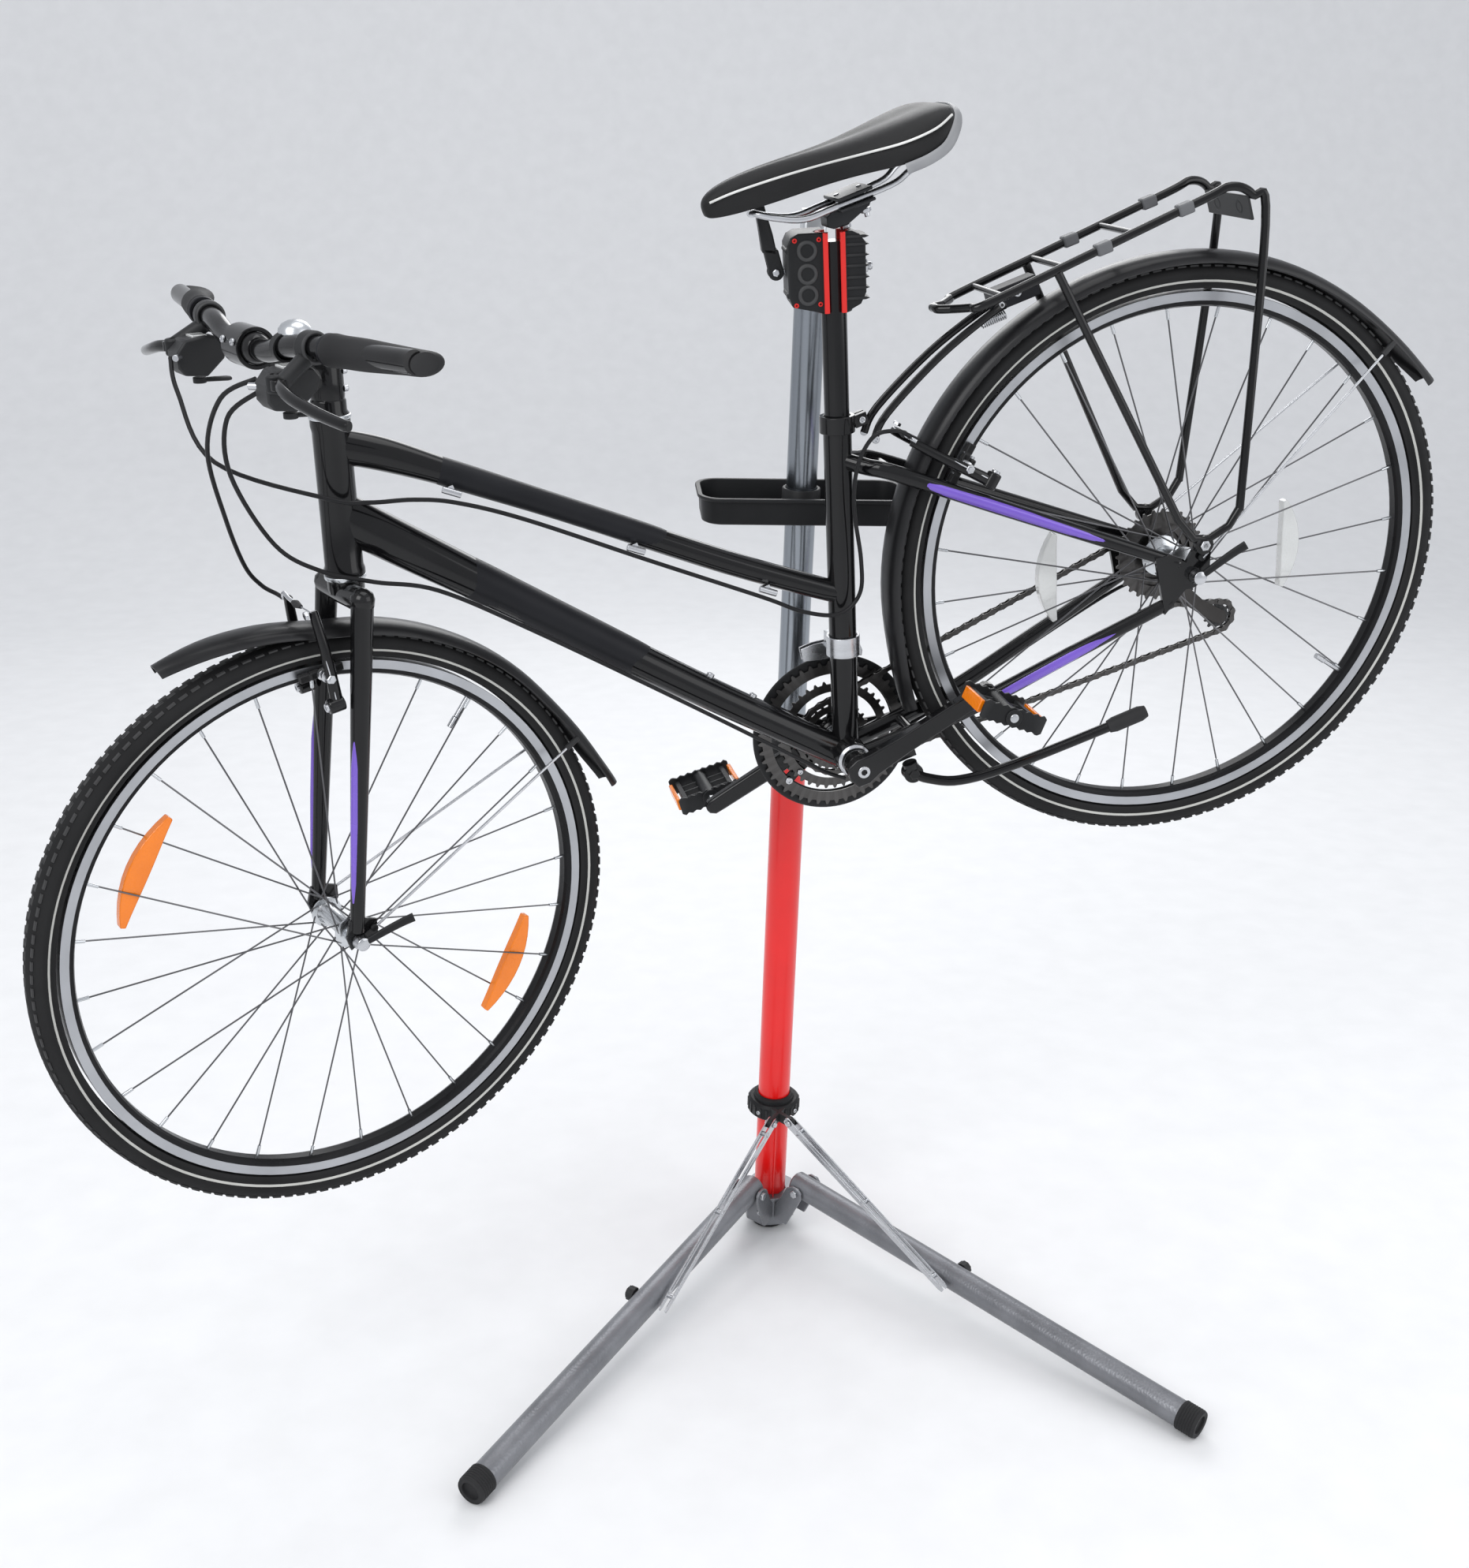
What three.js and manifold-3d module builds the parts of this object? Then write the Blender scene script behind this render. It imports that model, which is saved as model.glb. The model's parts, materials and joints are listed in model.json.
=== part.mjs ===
// A hybrid bicycle held by its seatpost in a folding repair stand.
// Millimetres, +Z up. The origin is the centre of the mast's foot, on the floor.
// The bicycle faces -X and its left side faces -Y.
import * as THREE from 'three';
import { mergeVertices } from 'three/addons/utils/BufferGeometryUtils.js';
import Module from 'manifold-3d';

const wasm = await Module();
wasm.setup();

// ---------------------------------------------------------------- driving dimensions
const DEG = Math.PI / 180;
const GAP = 0.3; // between pieces that touch
const RUN = 0.8; // between pieces that move past each other

// stand
const MAST_LEAN = 5.2 * DEG;
const MAST_R = 22.5;
const MAST_WALL = 2.2;
const MAST_LOWER_TOP = 782;
const UPPER_R = 19;
const UPPER_BOTTOM = 420;
const ARM_HEIGHT = 1394;
const HEAD_YAW = -4.3 * DEG;
const ARM_LENGTH = 195;
const ARM_R = 13;
const HEAD_TILT = -4.6 * DEG;
const LEG_SPREAD = 39 * DEG;
const LEG_REACH = 707;
const LEG_R = 17.5;
const LEG_CAP_R = 19;
const LEG_PIVOT_R = 66;
const LEG_PIVOT_Z = 92;
const COLLAR_Z = 196;
const COLLAR_H = 24;
const COLLAR_R = 37;
const BRACE_TOP_R = 56;
const BRACE_TOP_Z = 212;
const BRACE_AT = 266; // along the leg from its pivot
const BRACE_SIDE = 22.5; // sideways from the leg's own plane
const TRAY_Z = 1074;
const TRAY_LENGTH = 262;
const TRAY_WIDTH = 112;
const TRAY_DEPTH = 34;
const TRAY_WALL = 2.5;

// clamp
const POST_R = 14.2;
const PAD_WALL = 5;
const PAD_HALF = 42;
const PAD_LIP = 6.5;
const JAW_FRONT = 14;
const JAW_BACK = 33;
const ROD_R = 4;
const ROD_Y = 25;
const LEVER_X = -60;

// bicycle: X rearward, Y to the right, Z up, origin at the bottom bracket's centre
const GRIP_ON_POST = 558; // clamp's centre, along the seat tube from the bottom bracket
const BIKE_TURN = 9.2 * DEG;
const SEAT_ANGLE = 73.5 * DEG;
const HEAD_ANGLE = 71 * DEG;
const BB_DROP = 64;
const CHAINSTAY = 452;
const WHEELBASE = 1078;
const FORK_OFFSET = 50;
const STEER = 22.5 * DEG;
const HEAD_TUBE = [407, 573]; // along the steering axis, from the foot of the offset
const HEAD_TUBE_R = 22;
const STEERER_R = 14.3;
const SEAT_TUBE_R = 16;
const SEAT_TUBE_TOP = 400;
const POST_TOP = 606;
const TYRE_R = 347;
const TYRE_HALF = 18.5;
const RIM_R = 316;
const RIM_INNER_R = 298;
const RIM_HALF = 12;
const SPOKES = 28;
const SPOKE_R = 1.1;
const HUB_FRONT_HALF = 50;
const HUB_REAR_HALF = 65;
const CRANK = 170;
const CRANK_UP = 10.9 * DEG; // of the left crank, above the rearward direction
const RING_Y = 56;
const RING_MID_R = 72;
const RING_SMALL_R = 44;
const RING_R = 96;
const GUARD_R = 101;
const COG_R = 58;
const COG_SMALL_R = 27.5;
const HUB_BODY_R = 9.5;
const CHAIN_Y = 44.5;
const CHAIN_HALF = 3;
const CHAIN_T = 3.6;
const PEDAL_RIGHT_Y = 74;
const PEDAL_LEFT_Y = 80;
const PEDAL_REACH = 88;
const BAR_HALF = 293;
const BAR_R = 11.1;
const GRIP_R = 16;
const GRIP_LENGTH = 128;
const STEM_UP = 655;
const STEM_AHEAD = 78;
const RACK_HALF = 45;
const RACK_R = 5;
const FENDER_HALF = 26;
const FENDER_WALL = 2;
const CABLE_R = 2.5;

// ---------------------------------------------------------------- materials
const finish = (color, roughness, metalness) => new THREE.MeshStandardMaterial({ color, roughness,
  metalness });
const RED = finish(0xd80a06, 0.35, 0.1);
const SILVER = finish(0x9aa3ad, 0.28, 0.9);
const GREY = finish(0x6f727b, 0.45, 0.6);
const BLACK = finish(0x0c0c0e, 0.25, 0.3);
const PLASTIC = finish(0x17181a, 0.55, 0.0);
const RUBBER = finish(0x1b1b1c, 0.85, 0.0);
const TYRE = finish(0x151516, 0.9, 0.0);
const STEEL = finish(0xb8bcc2, 0.3, 1.0);
const ALLOY = finish(0xaeb2b8, 0.32, 1.0);
const PAD_RED = finish(0xe01812, 0.6, 0.0);
const LEATHER = finish(0x141415, 0.6, 0.0);

// ---------------------------------------------------------------- solid modelling helpers
// Turns any closed geometry into a clean indexed one: no doubled points, no slivers, faces out.
function closed(geometry) {
  const plain = geometry.index ? geometry.toNonIndexed() : geometry.clone();
  plain.deleteAttribute('normal');
  plain.deleteAttribute('uv');
  const merged = mergeVertices(plain, 1e-3);
  const p = merged.attributes.position;
  const faces = [];
  let volume = 0;
  const [a, b, c] = [new THREE.Vector3(), new THREE.Vector3(), new THREE.Vector3()];
  for (let i = 0; i < merged.index.count; i += 3) {
    const t = [merged.index.getX(i), merged.index.getX(i + 1), merged.index.getX(i + 2)];
    if (t[0] === t[1] || t[1] === t[2] || t[0] === t[2]) continue;
    faces.push(t);
    a.fromBufferAttribute(p, t[0]);
    b.fromBufferAttribute(p, t[1]);
    c.fromBufferAttribute(p, t[2]);
    volume += a.dot(b.cross(c));
  }
  merged.setIndex(faces.flatMap((t) => (volume < 0 ? [t[0], t[2], t[1]] : t)));
  return merged;
}

function toSolid(geometry) {
  const g = closed(geometry);
  const mesh = new wasm.Mesh({
    numProp: 3,
    vertProperties: new Float32Array(g.attributes.position.array),
    triVerts: new Uint32Array(g.index.array),
  });
  mesh.merge();
  return new wasm.Manifold(mesh);
}

function fromSolid(solid) {
  const mesh = solid.getMesh();
  const geometry = new THREE.BufferGeometry();
  geometry.setAttribute('position', new THREE.BufferAttribute(mesh.vertProperties, 3));
  geometry.setIndex([...mesh.triVerts]);
  return geometry;
}

const join = (...parts) =>
  fromSolid(parts.flat(Infinity).map(toSolid).reduce((whole, piece) => whole.add(piece)));
const cut = (body, ...tools) =>
  fromSolid(tools.flat(Infinity).map(toSolid).reduce((whole, tool) => whole.subtract(tool),
    toSolid(body)));
const keep = (body, tool) => fromSolid(toSolid(body).intersect(toSolid(tool)));

const V = (x, y, z) => new THREE.Vector3(x, y, z);
const UP = V(0, 0, 1);

// A straight round bar from a to b; r2 gives a taper.
function rod(a, b, r, sides = 12, r2 = r) {
  const along = b.clone().sub(a);
  const bar = new THREE.CylinderGeometry(r2, r, along.length(), sides);
  bar.rotateX(Math.PI / 2);
  bar.applyQuaternion(new THREE.Quaternion().setFromUnitVectors(UP, along.clone().normalize()));
  const middle = a.clone().add(b).multiplyScalar(0.5);
  return bar.translate(middle.x, middle.y, middle.z);
}

const ball = (at, r, n = 8) => new THREE.SphereGeometry(r, n, n / 2).translate(at.x, at.y, at.z);

// One bent round bar through the given points, mitred at each bend.
function bars(points, r, sides = 8) {
  let across = null;
  const rings = points.map((at, i) => {
    const before = at.clone().sub(points[Math.max(i - 1, 0)]).normalize();
    const after = points[Math.min(i + 1, points.length - 1)].clone().sub(at).normalize();
    const way = before.add(after).normalize();
    if (!across) across = Math.abs(way.y) < 0.8 ? V(0, 1, 0) : V(1, 0, 0);
    across.addScaledVector(way, -across.dot(way)).normalize();
    const other = way.clone().cross(across);
    return Array.from({ length: sides }, (_, k) => {
      const a = (2 * Math.PI * k) / sides;
      return at.clone().addScaledVector(across, r * Math.cos(a)).addScaledVector(other,
        r * Math.sin(a));
    });
  });
  return [loft(rings)];
}

const block = (x0, x1, y0, y1, z0, z1) =>
  new THREE.BoxGeometry(x1 - x0, y1 - y0, z1 - z0).translate((x0 + x1) / 2, (y0 + y1) / 2,
    (z0 + z1) / 2);

// A round bar along a smooth curve through the points.
function sweep(points, r, steps, sides = 8) {
  const outline = new THREE.Shape();
  for (let i = 0; i < sides; i += 1) {
    const a = (2 * Math.PI * i) / sides;
    if (i === 0) outline.moveTo(r * Math.cos(a), r * Math.sin(a));
    else outline.lineTo(r * Math.cos(a), r * Math.sin(a));
  }
  outline.closePath();
  const extrudePath = new THREE.CatmullRomCurve3(points, false, 'centripetal');
  return new THREE.ExtrudeGeometry(outline, { steps, extrudePath, curveSegments: sides });
}

// A flat outline in the XZ plane, given as [x, z] pairs, from y0 to y1.
function slab(points, y0, y1) {
  const outline = new THREE.Shape(points.map(([x, z]) => new THREE.Vector2(x, z)));
  const plate = new THREE.ExtrudeGeometry(outline, { depth: y1 - y0, bevelEnabled: false });
  return plate.rotateX(Math.PI / 2).translate(0, y1, 0);
}

// Turned pieces: [radius, along] pairs about the Y axis, or about the Z axis.
const turned = (profile, sides) =>
  new THREE.LatheGeometry(profile.map(([r, h]) => new THREE.Vector2(Math.max(r, 1e-9), h)), sides);
const turnedZ = (profile, sides) => turned(profile, sides).rotateX(Math.PI / 2);

// A skin through rings of points, all with the same number of points, closed at both ends.
function loft(rings) {
  const n = rings[0].length;
  const corners = [];
  const tri = (...points) => points.forEach((q) => corners.push(q.x, q.y, q.z));
  for (let i = 1; i < rings.length; i += 1) {
    for (let j = 0; j < n; j += 1) {
      const k = (j + 1) % n;
      tri(rings[i - 1][j], rings[i - 1][k], rings[i][k]);
      tri(rings[i - 1][j], rings[i][k], rings[i][j]);
    }
  }
  for (const [ring, flip] of [[rings[0], true], [rings[rings.length - 1], false]]) {
    const faces = THREE.ShapeUtils.triangulateShape(flatten(ring), []);
    for (const [a, b, c] of faces) {
      if (flip) tri(ring[a], ring[c], ring[b]);
      else tri(ring[a], ring[b], ring[c]);
    }
  }
  const geometry = new THREE.BufferGeometry();
  geometry.setAttribute('position', new THREE.Float32BufferAttribute(corners, 3));
  return geometry;
}

// A flat ring's points in its own plane, so that it can be triangulated.
function flatten(ring) {
  const middle = ring.reduce((sum, q) => sum.add(q), V(0, 0, 0)).divideScalar(ring.length);
  const normal = V(0, 0, 0);
  ring.forEach((q, i) => {
    const next = ring[(i + 1) % ring.length];
    normal.add(q.clone().sub(middle).cross(next.clone().sub(middle)));
  });
  normal.normalize();
  const side = ring[0].clone().sub(middle).normalize();
  const other = normal.clone().cross(side);
  return ring.map((q) => new THREE.Vector2(q.clone().sub(middle).dot(side),
    q.clone().sub(middle).dot(other)));
}

function add(group, name, geometry, material) {
  const mesh = new THREE.Mesh(closed(geometry), material);
  mesh.name = name;
  group.add(mesh);
  return mesh;
}

function nest(parent, position = V(0, 0, 0), rotation = [0, 0, 0]) {
  const group = new THREE.Group();
  group.position.copy(position);
  group.rotation.set(...rotation);
  parent.add(group);
  return group;
}

const whole = new THREE.Group();
const mast = nest(whole, V(0, 0, 0), [MAST_LEAN, 0, 0]);

// ---------------------------------------------------------------- stand: foot, mast, hub
// The rubber foot has a flat sole on the floor, while the mast above it leans forward.
const SOLE_R = 24;
const FOOT_TOP = 14;
add(
  whole,
  'mast_foot',
  cut(
    join(
      turnedZ([[0, 0], [SOLE_R, 0], [SOLE_R, 4], [0, 4]], 20),
      turnedZ([[0, 1], [SOLE_R, 1], [SOLE_R, FOOT_TOP], [0, FOOT_TOP]], 20).applyMatrix4(leaning()),
    ),
    block(-60, 60, -60, 60, -30, 0),
  ),
  RUBBER,
);

function leaning() {
  return new THREE.Matrix4().makeRotationX(MAST_LEAN);
}

const tube = (r, wall, z0, z1, sides = 20) =>
  turnedZ([[r - wall, z0], [r, z0], [r, z1], [r - wall, z1], [r - wall, z0]], sides);

add(mast, 'mast_lower', tube(MAST_R, MAST_WALL, FOOT_TOP + GAP, MAST_LOWER_TOP), RED);

// An eight-sided cast block grips the foot of the mast, with two ears behind it for each leg.
const legTurn = { left: -90 * DEG - LEG_SPREAD, right: -90 * DEG + LEG_SPREAD };
const EAR_IN = LEG_R + 1.2;
const EAR_OUT = LEG_R + 5.2;
const PIN_R = 4;
const HUB_R = 38;
const HUB_BOTTOM = FOOT_TOP + 2;
const HUB_TOP = 64;
function legEars() {
  const pieces = [];
  for (const turn of Object.values(legTurn)) {
    for (const [y0, y1] of [[EAR_IN, EAR_OUT], [-EAR_OUT, -EAR_IN]]) {
      const ear = slab(
        [[14, 30], [LEG_PIVOT_R - 14, 30], [LEG_PIVOT_R + 10, LEG_PIVOT_Z - 10], [LEG_PIVOT_R + 10,
          LEG_PIVOT_Z + 8],
          [LEG_PIVOT_R - 10, LEG_PIVOT_Z + 8], [14, 60]],
        y0,
        y1,
      );
      pieces.push(ear.rotateZ(turn));
    }
    const pin = rod(V(LEG_PIVOT_R, -EAR_OUT - 3, LEG_PIVOT_Z), V(LEG_PIVOT_R, EAR_OUT + 3,
      LEG_PIVOT_Z), PIN_R, 10);
    pieces.push(pin.rotateZ(turn));
  }
  return pieces;
}
const hubBlock = new THREE.CylinderGeometry(HUB_R, HUB_R, HUB_TOP - HUB_BOTTOM, 8)
  .rotateX(Math.PI / 2)
  .rotateZ(22.5 * DEG)
  .translate(0, 0, (HUB_BOTTOM + HUB_TOP) / 2);
add(
  mast,
  'leg_hub',
  cut(join(hubBlock, legEars()), rod(V(0, 0, -10), V(0, 0, 200), MAST_R + GAP, 20)),
  GREY,
);

// ---------------------------------------------------------------- stand: legs and braces
// The legs are square to the leaning mast within a few degrees, and their caps just reach the floor.
const CAP_SINK = 0.05;
const legEndZ =
  (LEG_CAP_R - CAP_SINK + LEG_REACH * Math.cos(LEG_SPREAD) * Math.sin(MAST_LEAN)) / Math.cos(MAST_LEAN);
const legDrop = Math.atan2(LEG_PIVOT_Z - legEndZ, LEG_REACH - LEG_PIVOT_R);
const legLength = (LEG_REACH - LEG_PIVOT_R) / Math.cos(legDrop);
const CAP_LENGTH = 26;
for (const side of ['left', 'right']) {
  const turn = legTurn[side];
  const inner = side === 'left' ? 1 : -1; // which side of the leg faces its fellow
  const post = nest(mast, V(0, 0, 0), [0, 0, turn]);
  const leg = nest(post, V(LEG_PIVOT_R, 0, LEG_PIVOT_Z), [0, legDrop, 0]);
  const legTube = rod(V(-16, 0, 0), V(legLength - CAP_LENGTH + 1, 0, 0), LEG_R, 16);
  const cap = rod(V(legLength - CAP_LENGTH, 0, 0), V(legLength, 0, 0), LEG_CAP_R, 16);
  const bore = rod(V(0, -40, 0), V(0, 40, 0), PIN_R + RUN, 10);
  const knobAt = V(BRACE_AT, -inner * (LEG_R - 2), 0);
  const knob = rod(knobAt, V(BRACE_AT, -inner * (LEG_R + 14), 0), 9, 10);
  add(leg, `leg_${side}`, cut(join(legTube, cap, knob), bore), GREY);

  // A pressed strut from the sliding collar down to the leg, on the side that faces its fellow.
  const end = V(BRACE_AT, 0, 0).applyEuler(new THREE.Euler(0, legDrop, 0)).add(V(LEG_PIVOT_R, 0,
    LEG_PIVOT_Z));
  const run = V(end.x - BRACE_TOP_R, 0, end.z - BRACE_TOP_Z);
  const length = run.length();
  const brace = nest(post, V(BRACE_TOP_R, inner * BRACE_SIDE, BRACE_TOP_Z), [0, Math.atan2(-run.z,
    run.x), 0]);
  const strap = (y) => slab([[-8, -6], [length + 6, -4], [length + 6, 4], [-8, 6]], y - 0.8, y + 0.8);
  add(
    brace,
    `brace_${side}`,
    cut(
      join(
        strap(0),
        strap(inner * 9),
        block(14, 24, Math.min(0, inner * 9), Math.max(0, inner * 9), -5, 5),
        block(length * 0.5 - 5, length * 0.5 + 5, Math.min(0, inner * 9), Math.max(0, inner * 9), -4,
          4),
        block(length - 22, length - 12, Math.min(0, inner * 9), Math.max(0, inner * 9), -3.5, 3.5),
      ),
      rod(V(0, -20, 0), V(0, 20, 0), PIN_R - 1 + RUN, 8),
    ),
    STEEL,
  );
}

// The black collar slides on the mast and carries the upper ends of the struts.
const collarPieces = [
  turnedZ([[0, COLLAR_Z], [COLLAR_R - 5, COLLAR_Z], [COLLAR_R, COLLAR_Z + 5], [COLLAR_R,
    COLLAR_Z + COLLAR_H - 5],
    [COLLAR_R - 5, COLLAR_Z + COLLAR_H], [0, COLLAR_Z + COLLAR_H]], 20),
];
for (const side of ['left', 'right']) {
  const inner = side === 'left' ? 1 : -1;
  const y = inner * (BRACE_SIDE + 4.5);
  const ear = rod(V(BRACE_TOP_R, y - 2.6, BRACE_TOP_Z), V(BRACE_TOP_R, y + 2.6, BRACE_TOP_Z), 7, 10);
  const arm = block(16, BRACE_TOP_R, y - 2.6, y + 2.6, BRACE_TOP_Z - 7, BRACE_TOP_Z + 7);
  const pin = rod(V(BRACE_TOP_R, y - 7.5, BRACE_TOP_Z), V(BRACE_TOP_R, y + 7.5, BRACE_TOP_Z),
    PIN_R - 1, 8);
  collarPieces.push(...[ear, arm, pin].map((g) => g.rotateZ(legTurn[side])));
}
add(
  mast,
  'slide_collar',
  cut(join(collarPieces), rod(V(0, 0, 0), V(0, 0, 400), MAST_R + RUN, 20)),
  PLASTIC,
);

// ---------------------------------------------------------------- stand: height clamp, upper mast, tray
const CLAMP_H = 46;
add(
  mast,
  'height_clamp',
  cut(
    join(
      turnedZ([[0, MAST_LOWER_TOP - 30], [MAST_R + 6, MAST_LOWER_TOP - 30], [MAST_R + 6,
        MAST_LOWER_TOP + 16],
        [0, MAST_LOWER_TOP + 16]], 20),
      block(-9, 9, MAST_R, MAST_R + 24, MAST_LOWER_TOP - 24, MAST_LOWER_TOP - 24 + CLAMP_H - 12),
    ),
    rod(V(0, 0, MAST_LOWER_TOP - 60), V(0, 0, MAST_LOWER_TOP + GAP), MAST_R + GAP, 20),
    rod(V(0, 0, MAST_LOWER_TOP - 2), V(0, 0, MAST_LOWER_TOP + 60), UPPER_R + RUN, 20),
  ),
  PLASTIC,
);
const HEIGHT_LEVER = V(13, MAST_R + 15, MAST_LOWER_TOP - 7);
add(
  nest(mast, HEIGHT_LEVER),
  'height_lever',
  join(rod(V(-3.5, 0, 0), V(8, 0, 0), 8, 12), block(1, 8, -5, 5, -62, 0), ball(V(4.5, 0, -62), 6.5)),
  PLASTIC,
);

add(mast, 'mast_upper', tube(UPPER_R, 1.6, UPPER_BOTTOM, ARM_HEIGHT - 26), SILVER);

// The tray is an open box with rounded corners, gripping the upper mast at its middle.
function roundedRectangle(length, width, radius) {
  const outline = new THREE.Shape();
  const [x, y] = [length / 2 - radius, width / 2 - radius];
  outline.absarc(x, y, radius, 0, Math.PI / 2);
  outline.absarc(-x, y, radius, Math.PI / 2, Math.PI);
  outline.absarc(-x, -y, radius, Math.PI, 1.5 * Math.PI);
  outline.absarc(x, -y, radius, 1.5 * Math.PI, 2 * Math.PI);
  return outline;
}
const TRAY_CORNER = 26;
const tall = (outline, z0, z1) =>
  new THREE.ExtrudeGeometry(outline, { depth: z1 - z0, bevelEnabled: false,
    curveSegments: 3 }).translate(0, 0, z0);
const trayGroup = nest(mast, V(0, 0, TRAY_Z), [0, 0, HEAD_YAW]);
add(
  trayGroup,
  'tool_tray',
  cut(
    join(
      cut(
        join(
          tall(roundedRectangle(TRAY_LENGTH - 8, TRAY_WIDTH - 8, TRAY_CORNER), 0, TRAY_DEPTH - 4),
          tall(roundedRectangle(TRAY_LENGTH, TRAY_WIDTH, TRAY_CORNER + 4), TRAY_DEPTH - 4.1,
            TRAY_DEPTH),
        ),
        tall(
          roundedRectangle(TRAY_LENGTH - 8 - 2 * TRAY_WALL, TRAY_WIDTH - 8 - 2 * TRAY_WALL,
            TRAY_CORNER - TRAY_WALL),
          TRAY_WALL,
          TRAY_DEPTH + 5,
        ),
      ),
      rod(V(0, 0, 0.5), V(0, 0, TRAY_DEPTH + 10), UPPER_R + 5, 20),
    ),
    rod(V(0, 0, -20), V(0, 0, 80), UPPER_R + GAP, 20),
  ),
  PLASTIC,
);

// ---------------------------------------------------------------- stand: head and clamp
const head = nest(mast, V(0, 0, ARM_HEIGHT), [0, 0, HEAD_YAW]);
const SOCKET_TOP = 46;
add(
  head,
  'head_socket',
  cut(
    join(
      block(-14, 14, -20, 20, -24, SOCKET_TOP),
      rod(V(0, 0, -58), V(0, 0, -20), UPPER_R + 3.5, 20),
    ),
    rod(V(0, 0, -90), V(0, 0, -26 + GAP), UPPER_R + GAP, 20),
    rod(V(0, -60, 0), V(0, 60, 0), ARM_R + RUN - 0.3, 20),
  ),
  SILVER,
);
const jaws = nest(head, V(0, -ARM_LENGTH, 0), [0, HEAD_TILT, 0]);
const PAD_IN = POST_R + GAP;
const PAD_OUT = POST_R + PAD_WALL;
const GROOVE_R = PAD_OUT + GAP;
const ARM_BACK = ARM_LENGTH + 34;
const ARM_PLATE = JAW_BACK + GAP;
const rodBore = rod(V(-100, ROD_Y, 0), V(100, ROD_Y, 0), ROD_R + RUN, 12);
const groove = rod(V(0, 0, -90), V(0, 0, 90), GROOVE_R, 20);

// The left jaw is one casting with the arm that turns in the head, held by a washer behind it.
add(
  jaws,
  'jaw_fixed',
  cut(
    join(
      slab([[-50, -22], [-46, -34], [-12, -PAD_HALF], [-7, -PAD_HALF], [-7, PAD_HALF], [-38,
        PAD_HALF], [-46, 38], [-50, 30]], -JAW_FRONT,
        ARM_PLATE + 10),
      block(-30, 16, ARM_PLATE, ARM_PLATE + 12, -16, 16),
      rod(V(0, ARM_PLATE + 4, 0), V(0, ARM_BACK, 0), ARM_R, 20),
      rod(V(0, ARM_LENGTH + 21, 0), V(0, ARM_BACK + 6, 0), ARM_R + 7, 20),
    ),
    groove,
    rodBore,
  ),
  PLASTIC,
);
add(
  jaws,
  'jaw_moving',
  cut(
    slab([[7, -PAD_HALF], [12, -PAD_HALF], [28, -34], [34, -22], [34, 30], [28, 38], [20, PAD_HALF],
      [7, PAD_HALF]],
      -JAW_FRONT, JAW_BACK - 1),
    groove,
    rod(V(-100, ROD_Y, 0), V(100, ROD_Y, 0), ROD_R + GAP, 12),
  ),
  PLASTIC,
);
// Each pad is a half liner, whose lips show in front of the jaw.
function pad(side) {
  const ring = turnedZ(
    [[PAD_IN, -PAD_HALF], [PAD_OUT, -PAD_HALF], [PAD_OUT, PAD_HALF], [PAD_IN, PAD_HALF], [PAD_IN,
      -PAD_HALF]],
    24,
  );
  return keep(ring, side < 0 ? block(-60, -PAD_LIP, -60, 60, -60, 60) : block(PAD_LIP, 60, -60, 60,
    -60, 60));
}
add(jaws, 'pad_fixed', pad(-1), PAD_RED);
add(jaws, 'pad_moving', pad(1), PAD_RED);
add(
  jaws,
  'clamp_screw',
  join(
    rod(V(LEVER_X - 6, ROD_Y, 0), V(46, ROD_Y, 0), ROD_R, 12),
    rod(V(34 + GAP, ROD_Y, 0), V(41, ROD_Y, 0), 7.5, 6),
    block(LEVER_X - 8, LEVER_X + 1.4, ROD_Y - 4, ROD_Y + 4, -5, 5),
  ),
  STEEL,
);
// The cam lever pivots on the screw's end and bears on the fixed jaw.
const leverGroup = nest(jaws, V(LEVER_X, ROD_Y, 0));
add(
  leverGroup,
  'clamp_lever',
  join(
    ...[-1, 1].map((s) =>
      slab([[-8.5, -4], [-4, -8.5], [4, -8.5], [8.5, -4], [8.5, 4], [1, 26], [-12, 26], [-8.5, 4]],
        s < 0 ? -11 : 4.4,
        s < 0 ? -4.4 : 11)),
    slab([[-12, 22], [2, 22], [-11, 74], [-19, 74], [-20, 70]], -11, 11),
  ),
  PLASTIC,
);

// ---------------------------------------------------------------- bicycle: frame
const bikeTurn = nest(jaws, V(0, 0, 0), [0, 0, BIKE_TURN]);
const bike = nest(bikeTurn, V(0, 0, -GRIP_ON_POST), [0, -(Math.PI / 2 - SEAT_ANGLE), 0]);
const REAR_AXLE_X = Math.sqrt(CHAINSTAY ** 2 - BB_DROP ** 2);
const REAR = V(REAR_AXLE_X, 0, BB_DROP);
const STEER_AXIS = V(Math.cos(HEAD_ANGLE), 0, Math.sin(HEAD_ANGLE));
const AHEAD = V(-Math.sin(HEAD_ANGLE), 0, Math.cos(HEAD_ANGLE));
const FRONT = V(REAR_AXLE_X - WHEELBASE, 0, BB_DROP);
const STEER_FOOT = FRONT.clone().addScaledVector(AHEAD, -FORK_OFFSET);
const onSteer = (s) => STEER_FOOT.clone().addScaledVector(STEER_AXIS, s);
const onSeat = (s) => V(s * Math.cos(SEAT_ANGLE), 0, s * Math.sin(SEAT_ANGLE));
const both = (make) => [make(-1), make(1)];
const DROP_Y = 67;
const DROP_T = 5;
const BB_HALF = 34;
const BB_R = 20;

const ringOf = (centre, across, half, tall2, n = 10) => {
  const ring = [];
  for (let i = 0; i < n; i += 1) {
    const a = (2 * Math.PI * i) / n;
    ring.push(centre.clone().addScaledVector(across, tall2 * Math.sin(a)).add(V(0, half * Math.cos(a),
      0)));
  }
  return ring;
};
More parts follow.
